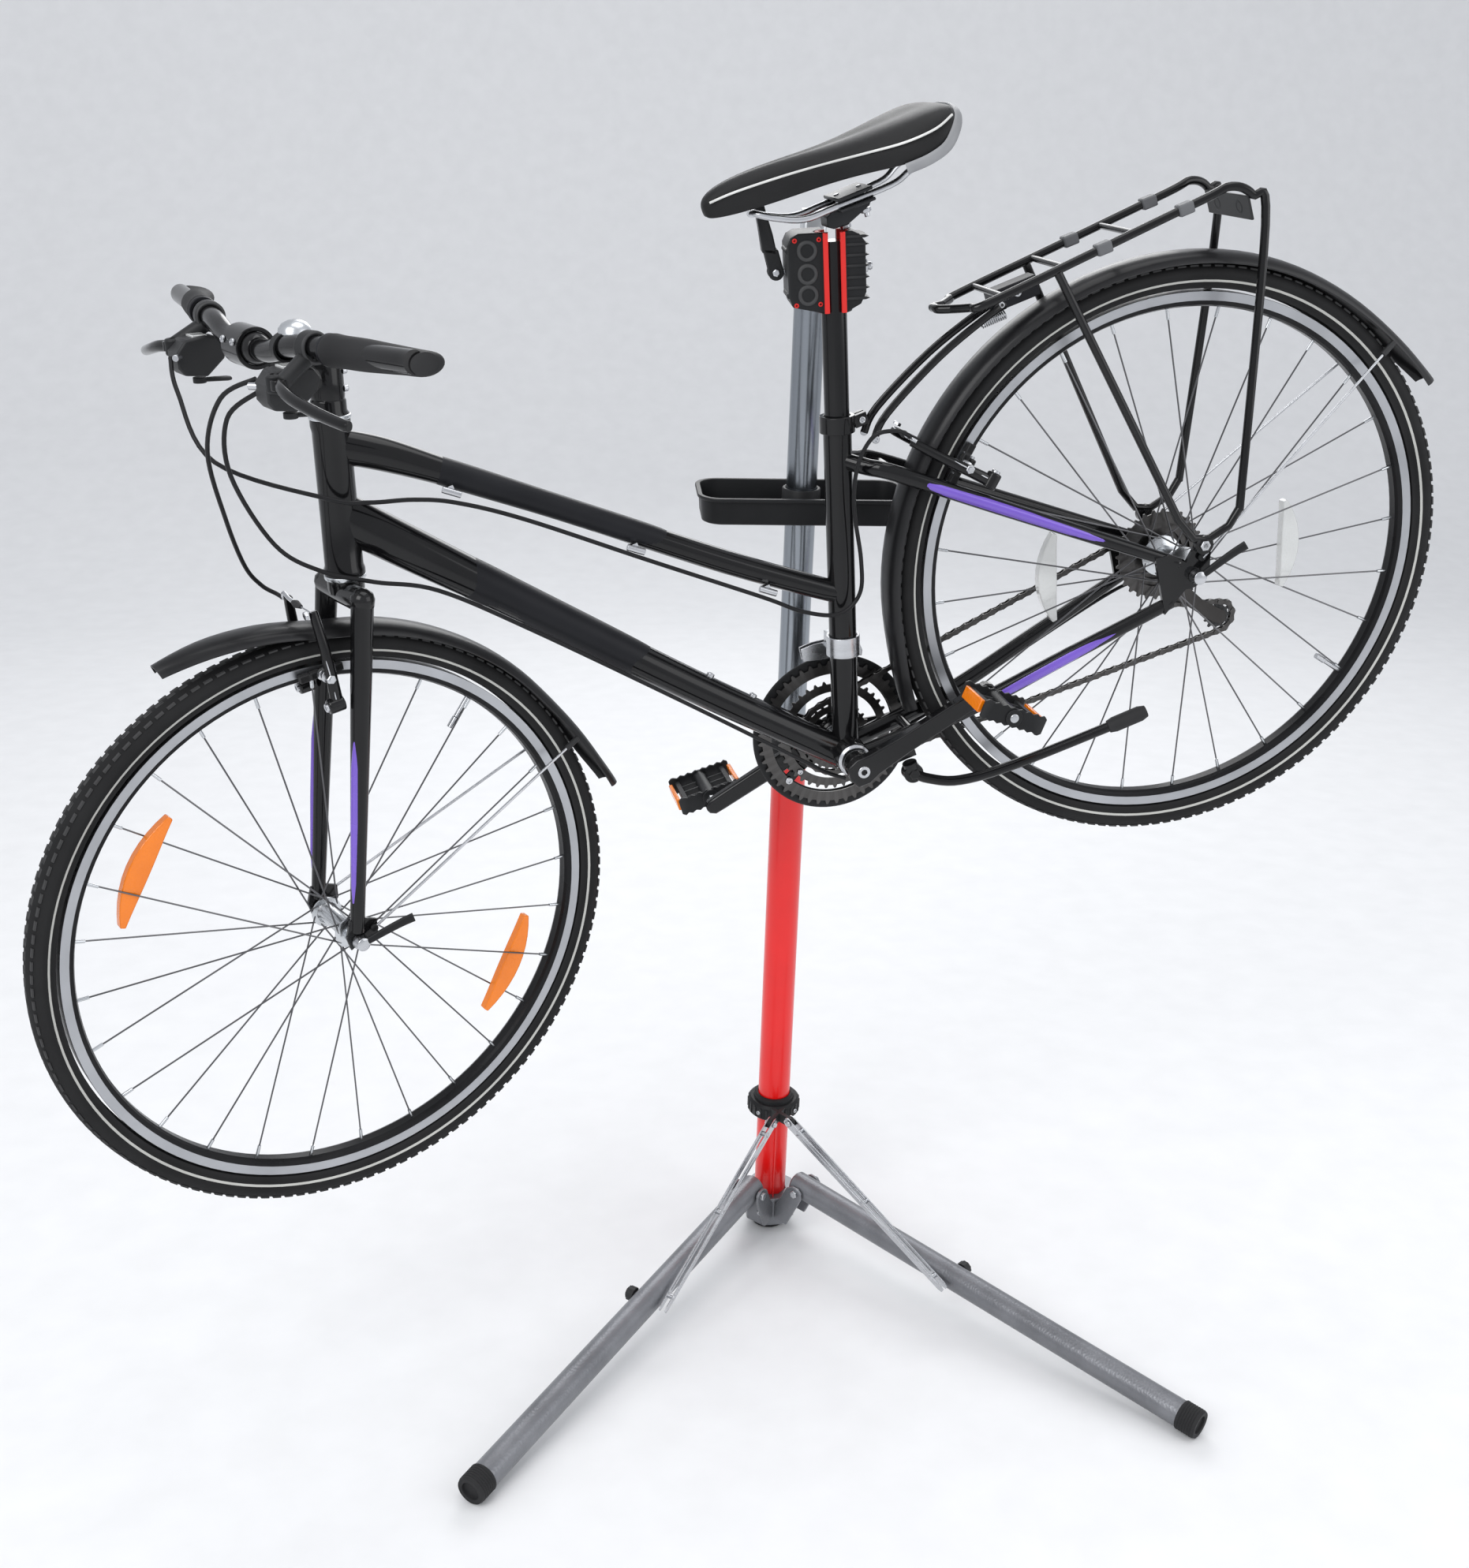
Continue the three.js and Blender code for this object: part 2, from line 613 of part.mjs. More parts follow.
// A tube of changing oval section along straight stretches, between points in the XZ plane.
function ovalTube(stations) {
  return loft(stations.map(([at, half, height], i) => {
    const before = stations[Math.max(i - 1, 0)][0];
    const after = stations[Math.min(i + 1, stations.length - 1)][0];
    const way = after.clone().sub(before).normalize();
    return ringOf(at, V(-way.z, 0, way.x), half, height);
  }));
}

// Brakes stand on studs. A stud's frame: pivot, outward way along the arm, and way along the stud.
const SHOE_R = 309;
const PIVOT_Y = 40;
const STUD_HALF = 9;
const frontBrake = { pivot: V(-42, 0, 277), way: V(-0.14, 0, 0.99).normalize(), stud: V(-0.99, 0,
  -0.14).normalize() };
const rearBrake = { pivot: V(252, 0, 260), way: V(-0.68, 0, 0.733).normalize(), stud: V(0.733, 0,
  0.68).normalize() };
const alongStud = (brake, s, f) => brake.pivot.clone().addScaledVector(brake.stud, f).setY(s * PIVOT_Y);
const studRod = (brake, s, reach) => rod(alongStud(brake, s, -reach), alongStud(brake, s,
  -STUD_HALF - GAP), 6.5, 8);

const topTube = ovalTube([
  [onSteer(545), 15, 19],
  [V(-362, 0, 535), 16, 18],
  [V(-300, 0, 485), 15, 14.5],
  [V(-217, 0, 415), 14, 13.5],
  [V(-60, 0, 279), 14, 13.5],
  [onSeat(196), 13, 13],
]);
const downTube = ovalTube([
  [onSteer(472), 17, 26],
  [V(-378, 0, 432), 21, 24],
  [V(-290, 0, 328), 22, 21],
  [V(-147, 0, 157), 21, 19],
  [V(-4, 0, -4), 20, 18],
]);
const SEATSTAY_TOP = onSeat(352);
const seatStay = (s) => [
  bars([SEATSTAY_TOP.clone().add(V(0, s * 6, 0)), V(118, s * 22, 327), V(150, s * 38, 308)], 9.5),
  rod(V(150, s * 38, 308), V(414, s * 62, 99), 9.5, 8, 7),
  rod(V(414, s * 62, 99), V(434, s * (DROP_Y - 1), 84), 7, 8),
];
const chainStay = (s) => [
  rod(V(10, s * 22, -2), V(140, s * (s > 0 ? 30 : 33), 2), 11, 8, 9.5),
  rod(V(140, s * (s > 0 ? 30 : 33), 2), V(412, s * 63, 42), 9.5, 8, 7.5),
];
const dropout = (s) =>
  slab([[400, 32], [432, 52], [440, 50], [462, 58], [474, 92], [462, 106], [440, 84], [424, 100],
    [405, 104], [402, 60]],
    s < 0 ? -DROP_Y - DROP_T / 2 : DROP_Y - DROP_T / 2,
      s < 0 ? -DROP_Y + DROP_T / 2 : DROP_Y + DROP_T / 2);
const hanger = slab([[446, 56], [468, 58], [466, 26], [458, 20], [450, 26]], DROP_Y - DROP_T / 2,
  DROP_Y + DROP_T / 2);
const seatTube = rod(onSeat(0), onSeat(SEAT_TUBE_TOP), SEAT_TUBE_R, 20);
const bbShell = rod(V(0, -BB_HALF, 0), V(0, BB_HALF, 0), BB_R, 20);
const headTube = rod(onSteer(HEAD_TUBE[0]), onSteer(HEAD_TUBE[1]), HEAD_TUBE_R, 20, HEAD_TUBE_R - 2);
const AXLE_R = 4.6;
const POST_LOW = 300;
const POST_SPARE = 40; // bore left below the seatpost, so that the frame can slide up it
const SPINDLE_R = 12;
const kickPlate = block(44, 74, -30, -12, -30, -6);
add(
  bike,
  'frame',
  cut(
    join(topTube, downTube, seatTube, headTube, bbShell, both(seatStay), both(chainStay),
      both(dropout), hanger,
      rod(V(150, -38, 308), V(150, 38, 308), 6, 8), rod(V(78, -27, 0), V(78, 26, 0), 6, 8), kickPlate,
      both((s) => studRod(rearBrake, s, 26))),
    rod(onSteer(HEAD_TUBE[0] - 20), onSteer(HEAD_TUBE[1] + 20), STEERER_R + RUN, 20),
    rod(onSeat(POST_LOW - POST_SPARE), onSeat(SEAT_TUBE_TOP + 20), POST_R + GAP, 20),
    rod(V(0, -60, 0), V(0, 60, 0), SPINDLE_R + RUN, 20),
    rod(REAR.clone().setY(-90), REAR.clone().setY(90), AXLE_R + RUN, 12),
  ),
  BLACK,
);

// ---------------------------------------------------------------- bicycle: seatpost, collar, saddle
const railZ = 600;
const RAIL_Y = 21;
const RAIL_R = 3.6;
add(
  bike,
  'seatpost',
  cut(
    join(
      rod(onSeat(POST_LOW), onSeat(POST_TOP), POST_R, 20),
      slab([[164, 580], [181, 578], [216, 588], [222, railZ + 8], [176, railZ + 8], [166, 588]], -12,
        12),
      block(178, 220, -28, 28, railZ - 8, railZ + 8),
    ),
    both((s) => rod(V(100, s * RAIL_Y, railZ), V(300, s * RAIL_Y, railZ), RAIL_R + GAP, 8)),
  ),
  BLACK,
);
add(
  bike,
  'seat_collar',
  cut(
    join(rod(onSeat(SEAT_TUBE_TOP - 16), onSeat(SEAT_TUBE_TOP + 3), SEAT_TUBE_R + 4, 20),
      block(SEAT_TUBE_R + 112, SEAT_TUBE_R + 128, -9, 9, 366, 380)),
    rod(onSeat(100), onSeat(SEAT_TUBE_TOP + GAP), SEAT_TUBE_R + GAP, 20),
    rod(onSeat(SEAT_TUBE_TOP - 2), onSeat(SEAT_TUBE_TOP + 60), POST_R + GAP, 20),
  ),
  BLACK,
);

// The saddle: [x, half width, underside, edge, top, half width of the crown].
const saddleRing = ([x, half, under, edge, top, crown]) => [
  V(x, -half, edge), V(x, -half * 0.96, edge + (top - edge) * 0.55), V(x, -crown, top - 2), V(x, 0,
    top),
  V(x, crown, top - 2), V(x, half * 0.96, edge + (top - edge) * 0.55), V(x, half, edge),
  V(x, half * 0.8, under), V(x, 0, under + 4), V(x, -half * 0.8, under),
];
add(
  bike,
  'saddle',
  loft([
    [44, 7, 640, 645, 653, 4], [52, 14, 632, 640, 660, 8], [80, 20, 626, 634, 666, 10], [130, 25, 624,
      630, 665, 13],
    [175, 36, 624, 628, 663, 18], [215, 56, 622, 624, 662, 30], [252, 74, 616, 618, 663, 46],
    [285, 80, 618, 622, 664, 58], [308, 72, 630, 636, 664, 54], [324, 48, 644, 648, 656, 36],
  ].map(saddleRing)),
  LEATHER,
);
add(
  bike,
  'saddle_rails',
  join(
    both((s) => bars([V(92, s * 8, 622), V(106, s * 12, 618), V(140, s * RAIL_Y, railZ), V(240,
      s * RAIL_Y, railZ),
      V(268, s * 27, 610), V(276, s * 30, 611)], RAIL_R, 8)),
    rod(V(92, -9, 622), V(92, 9, 622), RAIL_R, 8),
    ball(V(92, -8, 622), RAIL_R * 1.02),
    ball(V(92, 8, 622), RAIL_R * 1.02),
  ),
  STEEL,
);

// ---------------------------------------------------------------- bicycle: wheels
const FLANGE_T = 5;
function spokesAndHub(hubHalf, flange, flangeR, hubR) {
  const pieces = [
    turned([[AXLE_R + RUN, -hubHalf], [8, -hubHalf], [8, -flange[0] - FLANGE_T], [flangeR,
      -flange[0] - FLANGE_T],
      [flangeR, -flange[0]], [hubR, -flange[0]], [hubR, flange[1]], [flangeR, flange[1]],
      [flangeR, flange[1] + FLANGE_T], [8, flange[1] + FLANGE_T], [8, hubHalf], [AXLE_R + RUN, hubHalf],
      [AXLE_R + RUN, -hubHalf]], 12),
  ];
  for (let i = 0; i < SPOKES; i += 1) {
    const side = i % 2 === 0 ? -1 : 1;
    const out = (2 * Math.PI * i) / SPOKES;
    const lean = (Math.floor(i / 2) % 2 === 0 ? 1 : -1) * 62 * DEG;
    const y = side * ((side < 0 ? flange[0] : flange[1]) + FLANGE_T / 2 + (lean > 0 ? 1.3 : -1.3));
    const low = V((flangeR - 3) * Math.cos(out + lean), y, (flangeR - 3) * Math.sin(out + lean));
    const high = V((RIM_INNER_R + 1.5) * Math.cos(out), side * 2, (RIM_INNER_R + 1.5) * Math.sin(out));
    pieces.push(rod(low, high, SPOKE_R, 3));
  }
  return pieces;
}
const WHEEL_SIDES = 32;
const rim = () => turned([[RIM_INNER_R, -5], [RIM_INNER_R + 3, -9], [RIM_R, -RIM_HALF], [RIM_R,
  RIM_HALF],
  [RIM_INNER_R + 3, 9], [RIM_INNER_R, 5], [RIM_INNER_R, -5]], WHEEL_SIDES);
// The tyre's outline: a flat bead on the rim, bulging sides and a round crown.
const tyreProfile = [[RIM_R + 3, -11], [331, -TYRE_HALF], [342, -13], [TYRE_R + 1, 0], [342, 13],
  [331, TYRE_HALF],
  [RIM_R + 3, 11], [RIM_R + 3, -11]];
const tyreRing = () => turned(tyreProfile, WHEEL_SIDES);

const rearWheel = nest(bike, REAR);
add(rearWheel, 'wheel_rear', join(rim(), ...spokesAndHub(HUB_REAR_HALF - 1, [32, 18], 25, 14)), ALLOY);
add(rearWheel, 'tyre_rear', tyreRing(), TYRE);
// The cassette turns on the right of the hub.
add(
  rearWheel,
  'cassette',
  turned([[HUB_BODY_R, 24], [COG_R, 24], [COG_R, 26], [COG_R - 8, 30], [COG_R - 14, 34], [COG_R - 22,
    38],
    [COG_SMALL_R, CHAIN_Y - CHAIN_HALF - 1], [COG_SMALL_R, CHAIN_Y + CHAIN_HALF + 1], [22, 54],
      [HUB_BODY_R, 57],
    [HUB_BODY_R, 24]], 20),
  STEEL,
);

function skewer(group, name, half, leverSide) {
  const tip = leverSide < 0 ? V(58, -half - 24, 22) : V(58, half + 24, 22);
  add(
    group,
    name,
    join(
      rod(V(0, -half - 14, 0), V(0, half + 14, 0), 3, 8),
      rod(V(0, half + GAP, 0), V(0, half + 12, 0), 9, 10),
      rod(V(0, -half - 14, 0), V(0, -half - GAP, 0), 9, 10),
      rod(V(0, leverSide * (half + 10), 0), tip, 5, 8, 4),
      ball(tip, 5),
    ),
    BLACK,
  );
}
skewer(rearWheel, 'skewer_rear', DROP_Y + DROP_T / 2, -1);

// ---------------------------------------------------------------- bicycle: cranks, pedals, chain
// Three chainrings, a guard and the right arm share the spindle. The chain sits on the smallest ring.
const cranks = nest(bike, V(0, 0, 0), [0, -CRANK_UP, 0]);
const armOutline = (sign) => [[-14, -15], [0, -18], [14, -15], [CRANK - 6, -11], [CRANK + 8, -9],
  [CRANK + 12, 0],
  [CRANK + 8, 9], [CRANK - 6, 11], [14, 15], [0, 18], [-14, 15], [-18, 0]].map(([x, z]) => [sign * x,
    z]);
const pedalHole = (x) => rod(V(x, -200, 0), V(x, 200, 0), 5, 8);
const RING_BACK = CHAIN_Y - CHAIN_HALF - GAP;
const RING_MID_Y = CHAIN_Y + CHAIN_HALF + GAP;
add(
  cranks,
  'crankset',
  cut(
    join(
      rod(V(0, -BB_HALF - 20, 0), V(0, RING_Y + 6, 0), SPINDLE_R, 16),
      turned([[0, RING_BACK], [RING_SMALL_R, RING_BACK], [RING_SMALL_R, RING_MID_Y], [RING_MID_R,
        RING_MID_Y + 0.5],
        [RING_MID_R, RING_MID_Y + 3], [60, RING_MID_Y + 5], [80, RING_Y - 2], [RING_R, RING_Y - 1.5],
        [RING_R, RING_Y + 1], [84, RING_Y + 2], [GUARD_R, RING_Y + 2.5], [GUARD_R, RING_Y + 4.5],
        [70, RING_Y + 4.5], [60, RING_Y + 6], [0, RING_Y + 6]], 28),
      slab(armOutline(-1), RING_Y + 5, PEDAL_RIGHT_Y),
    ),
    pedalHole(-CRANK),
  ),
  BLACK,
);
const LEFT_ARM = [PEDAL_LEFT_Y - 20, PEDAL_LEFT_Y - 6];
add(
  cranks,
  'crank_left',
  cut(
    join(slab(armOutline(1), -LEFT_ARM[1], -LEFT_ARM[0]), rod(V(0, -BB_HALF - 6, 0), V(0,
      -LEFT_ARM[0], 0), 17, 16)),
    rod(V(0, -BB_HALF - 20 - GAP, 0), V(0, 0, 0), SPINDLE_R + GAP, 16),
    pedalHole(CRANK),
  ),
  BLACK,
);
// A cage pedal: two side plates, a core round the axle, and a reflector at the front and back.
function pedal(name, x, face, side, turn) {
  const group = nest(cranks, V(x, side * face, 0), [0, turn, 0]);
  const out = (a, b) => [Math.min(side * a, side * b), Math.max(side * a, side * b)];
  add(
    group,
    name,
    join(
      rod(V(0, -side * 10, 0), V(0, side * 20, 0), 4.2, 8),
      rod(V(0, side * 2, 0), V(0, side * PEDAL_REACH, 0), 10, 10),
      block(-40, 40, ...out(16, 22), -12, 12),
      block(-40, 40, ...out(PEDAL_REACH - 10, PEDAL_REACH - 4), -12, 12),
      block(-43, -36, ...out(18, PEDAL_REACH - 6), -9, 9),
      block(36, 43, ...out(18, PEDAL_REACH - 6), -9, 9),
    ),
    PLASTIC,
  );
}
pedal('pedal_left', CRANK, PEDAL_LEFT_Y - 6, -1, 0.9);
pedal('pedal_right', -CRANK, PEDAL_RIGHT_Y, 1, 0.25);

// The chain: round the small ring, under the lower pulley, over the upper one and round the cog.
const PULLEY_R = 18;
const UPPER_PULLEY = V(REAR.x + 22, 0, REAR.z - 66);
const LOWER_PULLEY = V(REAR.x + 62, 0, REAR.z - 118);
const CHAIN_SLACK = 1.2; // over the tooth tips
const chainMid = CHAIN_T / 2 + CHAIN_SLACK;
function chainRun(offset) {
  const points = [];
  const arc = (centre, r, from, to, n) => {
    for (let i = 0; i <= n; i += 1) {
      const a = (from + ((to - from) * i) / n) * DEG;
      points.push([centre.x + r * Math.cos(a), centre.z + r * Math.sin(a)]);
    }
  };
  arc(V(0, 0, 0), RING_SMALL_R + chainMid + offset, 97, 263, 8);
  arc(LOWER_PULLEY, PULLEY_R + chainMid + offset, 262, 400, 5);
  arc(UPPER_PULLEY, PULLEY_R + chainMid - offset, 215, 160, 3);
  arc(REAR, COG_SMALL_R + chainMid + offset, -42, 97, 6);
  return points;
}
add(
  bike,
  'chain',
  cut(
    slab(chainRun(CHAIN_T / 2), CHAIN_Y - CHAIN_HALF, CHAIN_Y + CHAIN_HALF),
    slab(chainRun(-CHAIN_T / 2), CHAIN_Y - 20, CHAIN_Y + 20),
  ),
  STEEL,
);

// ---------------------------------------------------------------- bicycle: derailleurs and stand
const CAGE_Y = [CHAIN_Y - CHAIN_HALF - 3.2, CHAIN_Y + CHAIN_HALF + 1.2];
const cagePlate = (y) =>
  slab([[UPPER_PULLEY.x - 10, UPPER_PULLEY.z - 4], [UPPER_PULLEY.x - 4, UPPER_PULLEY.z + 9],
    [UPPER_PULLEY.x + 9, UPPER_PULLEY.z + 6], [LOWER_PULLEY.x + 10, LOWER_PULLEY.z + 2],
    [LOWER_PULLEY.x + 4, LOWER_PULLEY.z - 10], [LOWER_PULLEY.x - 9, LOWER_PULLEY.z - 6]], y, y + 2);
add(
  bike,
  'derailleur_rear',
  join(
    cagePlate(CAGE_Y[0]),
    cagePlate(CAGE_Y[1]),
    [UPPER_PULLEY, LOWER_PULLEY].map((c) =>
      rod(c.clone().setY(CAGE_Y[0]), c.clone().setY(CAGE_Y[1] + 3), PULLEY_R - 4, 12)),
    rod(UPPER_PULLEY.clone().setY(CAGE_Y[1]), UPPER_PULLEY.clone().setY(76), 8, 10),
    slab([[UPPER_PULLEY.x - 10, -8], [UPPER_PULLEY.x - 16, 22], [460, 33], [470, 31],
      [UPPER_PULLEY.x + 12, 4]],
      DROP_Y + DROP_T / 2 + GAP, 80),
  ),
  PLASTIC,
);
add(
  bike,
  'derailleur_front',
  cut(
    join(
      rod(onSeat(122), onSeat(146), SEAT_TUBE_R + 4, 16),
      block(26, 56, 16, 50, 116, 132),
      slab([[-6, 106], [40, 96], [64, 84], [66, 104], [40, 116], [-4, 122]], 49, 51),
      slab([[-6, 106], [40, 100], [66, 92], [66, 106], [40, 118], [-4, 122]], 58, 59.6),
      block(40, 60, 49, 59.6, 106, 109),
    ),
    rod(onSeat(60), onSeat(220), SEAT_TUBE_R + GAP, 20),
  ),
  STEEL,
);
const KICK = V(62, -40, -46);
add(
  nest(bike, KICK),
  'kickstand',
  join(
    rod(V(0, 0, 0), V(0, 14, 0), 12, 12),
    rod(V(0, 6, 0), V(0, 6, 14), 9, 8),
    bars([V(0, 5, 0), V(14, -2, -12), V(50, -7, -29), V(120, -12, -36), V(262, -34, -28)], 6.2, 8),
    rod(V(238, -30.3, -29.4), V(284, -37.4, -26), 9.5, 8),
  ),
  BLACK,
);

// ---------------------------------------------------------------- bicycle: mudguards and carrier
// A mudguard is a thin bowed shell on an arc about the axle, given as [degrees from up, radius] stations.
function guardShell(stations, half) {
  return loft(stations.map(([angle, r, w = half]) => {
    const out = V(Math.sin(angle * DEG), 0, Math.cos(angle * DEG));
    const at = (y, h) => out.clone().multiplyScalar(r + h).add(V(0, y, 0));
    const top = [[-w, -12], [-w * 0.72, -3], [0, 0], [w * 0.72, -3], [w, -12]];
    const under = top.map(([y, h]) => [y * 0.92, h - FENDER_WALL]).reverse();
    return [...top, ...under].map(([y, h]) => at(y, h));
  }));
}
const range = (from, to, n) => Array.from({ length: n + 1 }, (_, i) => from + ((to - from) * i) / n);
const stay = (angle, r, half, end) => both((s) => {
  const clip = V(r * Math.sin(angle * DEG), s * half, r * Math.cos(angle * DEG));
  return rod(clip, V(end.x, s * end.y, end.z), 1.8, 6);
});
const rearGuard = [[-97, 368, 18], ...range(-84, 48, 10).map((a) => [a, 361]), [60, 364], [70, 371],
  [77, 381, 14]];
add(
  rearWheel,
  'fender_rear',
  join(
    guardShell(rearGuard, FENDER_HALF),
    stay(64, 356, FENDER_HALF - 3, V(11, DROP_Y + 8, 20)),
    both((s) => rod(V(11, s * (DROP_Y + DROP_T / 2 + GAP), 20), V(11, s * (DROP_Y + 10), 20), 4.5, 8)),
  ),
  PLASTIC,
);

const RAIL_Z = [450, 466];
const FOOT_Y = DROP_Y + 9;
const railAt = (x) => RAIL_Z[0] + ((RAIL_Z[1] - RAIL_Z[0]) * (x - 300)) / 270;
const carrierSide = (s) => [
  bars([V(268, s * 16, railAt(268) + 4), V(300, s * RACK_HALF, railAt(300)), V(565, s * RACK_HALF,
    RAIL_Z[1]),
    V(596, s * (RACK_HALF + 2), 468), V(618, s * (RACK_HALF + 6), 450), V(622, s * (RACK_HALF + 10),
      416),
    V(514, s * FOOT_Y, 122), V(494, s * FOOT_Y, 108), V(470, s * FOOT_Y, 104), V(450, s * FOOT_Y, 112),
    V(440, s * FOOT_Y, 140), V(382, s * RACK_HALF, railAt(382))], RACK_R, 6),
  rod(V(462, s * (FOOT_Y - 4), 100), V(462, s * (FOOT_Y + 7), 100), 11, 10),
  rod(V(462, s * (DROP_Y + DROP_T / 2 + GAP), 100), V(462, s * FOOT_Y, 100), 5, 8),
];
add(
  bike,
  'carrier',
  join(
    both(carrierSide),
    bars([V(268, -16, railAt(268) + 4), V(256, 0, railAt(256) + 9), V(268, 16, railAt(268) + 4)],
      RACK_R, 8),
    [318, 392, 478].map((x) => rod(V(x, -RACK_HALF, railAt(x)), V(x, RACK_HALF, railAt(x)), 3.6, 8)),
    block(610, 614, -RACK_HALF - 6, RACK_HALF + 6, 424, 452),
    block(316, 372, -12, 12, 427, 452),
    both((s) => bars([V(330, s * 10, 432), V(310, s * 14, 430), V(240, s * 17, 408), V(165, s * 19,
      372),
      V(142, s * 19, 350)], 3.4, 8)),
  ),
  BLACK,
);

// ---------------------------------------------------------------- bicycle: fork and front wheel
const steerFoot = nest(bike, STEER_FOOT, [0, Math.PI / 2 - HEAD_ANGLE, 0]);
const front = nest(steerFoot, V(0, 0, 0), [0, 0, STEER]);
const AXLE = V(-FORK_OFFSET, 0, 0);
const CROWN = V(-3, 0, 387);
const FORK_DROP_Y = 54;
const FORK_DROP_T = 5;
const STEM_LOW = 592;
const STEM_HIGH = 634;
const blade = (s) => rod(V(AXLE.x, s * FORK_DROP_Y, 10), CROWN.clone().add(V(0, s * 46, 0)), 8, 12,
  12.5);
const forkDrop = (s) => slab([[-60, -10], [-40, -10], [-26, 4], [-26, 20], [-42, 26], [-58, 26], [-64,
  6]],
  s * FORK_DROP_Y - FORK_DROP_T / 2, s * FORK_DROP_Y + FORK_DROP_T / 2);

add(
  front,
  'fork',
  cut(
    join(
      both(blade),
      both(forkDrop),
      rod(CROWN.clone().setY(-46), CROWN.clone().setY(46), 14, 12),
      both((s) => ball(CROWN.clone().setY(s * 46), 14, 12)),
      rod(V(0, 0, 385), V(0, 0, HEAD_TUBE[0] - RUN), 20, 20),
      rod(V(0, 0, 400), V(0, 0, STEM_HIGH - 3), STEERER_R, 20),
      both((s) => studRod(frontBrake, s, 20)),
    ),
    rod(AXLE.clone().setY(-90), AXLE.clone().setY(90), AXLE_R + RUN, 12),
  ),
  BLACK,
);
const frontWheel = nest(front, AXLE);
add(frontWheel, 'wheel_front', join(rim(), ...spokesAndHub(HUB_FRONT_HALF, [30, 30], 18, 11)), ALLOY);
add(frontWheel, 'tyre_front', tyreRing(), TYRE);
skewer(frontWheel, 'skewer_front', FORK_DROP_Y + FORK_DROP_T / 2, -1);
const frontGuard = [[-26, 386, 12], [-18, 380, 22], [-8, 370], ...range(2, 52, 5).map((a) => [a,
  360]), [60, 364],
  [70, 374], [77.5, 388, 16]];
add(
  frontWheel,
  'fender_front',
  join(
    guardShell(frontGuard, FENDER_HALF),
    stay(63, 356, FENDER_HALF - 3, V(18, FORK_DROP_Y + 6, 12)),
    both((s) => rod(V(18, s * (FORK_DROP_Y + FORK_DROP_T / 2 + GAP), 12), V(18, s * (FORK_DROP_Y + 8),
      12), 4, 8)),
  ),
  PLASTIC,
);

// ---------------------------------------------------------------- bicycle: rim brakes
const SHOE_IN = RIM_HALF + 1.7;
function brakeArm(group, name, brake, s, axle) {
  const radius = brake.pivot.distanceTo(axle);
  const at = (h, y, f = 0) =>
    brake.pivot.clone().addScaledVector(brake.way, h).addScaledVector(brake.stud, f).setY(s * y);
  const shoe = new THREE.BoxGeometry(52, 8, 8.5);
  shoe.applyMatrix4(new THREE.Matrix4().makeBasis(brake.stud, V(0, 1, 0),
    brake.stud.clone().cross(V(0, 1, 0))));
  const seat = at(SHOE_R - radius, SHOE_IN + 4);
  shoe.translate(seat.x, seat.y, seat.z);
  add(
    group,
    name,
    join(
      rod(at(0, PIVOT_Y, -STUD_HALF), at(0, PIVOT_Y, STUD_HALF), 8.5, 10),
      rod(at(0, PIVOT_Y), at(104, 34), 6, 8, 4.5),
      rod(at(104, 36), at(104, 28), 6, 8),
      rod(at(SHOE_R - radius, SHOE_IN + 4), at(SHOE_R - radius, PIVOT_Y + 6), 3.6, 8),
      shoe,
    ),
    PLASTIC,
  );
}
for (const [side, s] of [['left', -1], ['right', 1]]) {
  brakeArm(front, `brake_front_${side}`, frontBrake, s, AXLE);
  brakeArm(bike, `brake_rear_${side}`, rearBrake, s, REAR);
}

// ---------------------------------------------------------------- bicycle: stem, handlebar, controls
const BAR_CENTRE = V(-STEM_AHEAD, 0, STEM_UP);
const BAR_BEND = (s) => V(-71, s * 108, 668);
const BAR_END = (s) => V(-40, s * BAR_HALF, 673);
const barAt = (s, t) => {
  const way = BAR_END(s).sub(BAR_BEND(s)).normalize();
  return BAR_BEND(s).addScaledVector(way, t);
};
const barSpan = BAR_END(1).distanceTo(BAR_BEND(1));
add(
  front,
  'stem',
  cut(
    join(
      rod(V(0, 0, STEM_LOW), V(0, 0, STEM_HIGH), 18, 20),
      rod(V(0, 0, HEAD_TUBE[1] + RUN), V(0, 0, STEM_LOW), 19, 20),
      rod(V(-6, 0, 613), V(-62, 0, 647), 15, 12, 14),
      rod(BAR_CENTRE.clone().setY(-21), BAR_CENTRE.clone().setY(21), 21, 20),
    ),
    rod(V(0, 0, 500), V(0, 0, STEM_HIGH - 3 + GAP), STEERER_R + GAP, 20),
    rod(BAR_CENTRE.clone().setY(-60), BAR_CENTRE.clone().setY(60), 15.9 + GAP, 20),
  ),
  BLACK,
);
add(
  front,
  'handlebar',
  join(
    rod(BAR_CENTRE.clone().setY(-28), BAR_CENTRE.clone().setY(28), 15.9, 20),
    bars([barAt(-1, 4), BAR_CENTRE.clone().setY(-48), BAR_CENTRE.clone().setY(48), barAt(1, 4)],
      BAR_R, 12),
    both((s) => rod(BAR_BEND(s), BAR_END(s), BAR_R, 12)),
  ),
  BLACK,
);
const LEVER_PIVOT = (s) => V(-108, s * 146, 640);
const TRIGGER_PIVOT = (s) => V(-90, s * 121, 606);
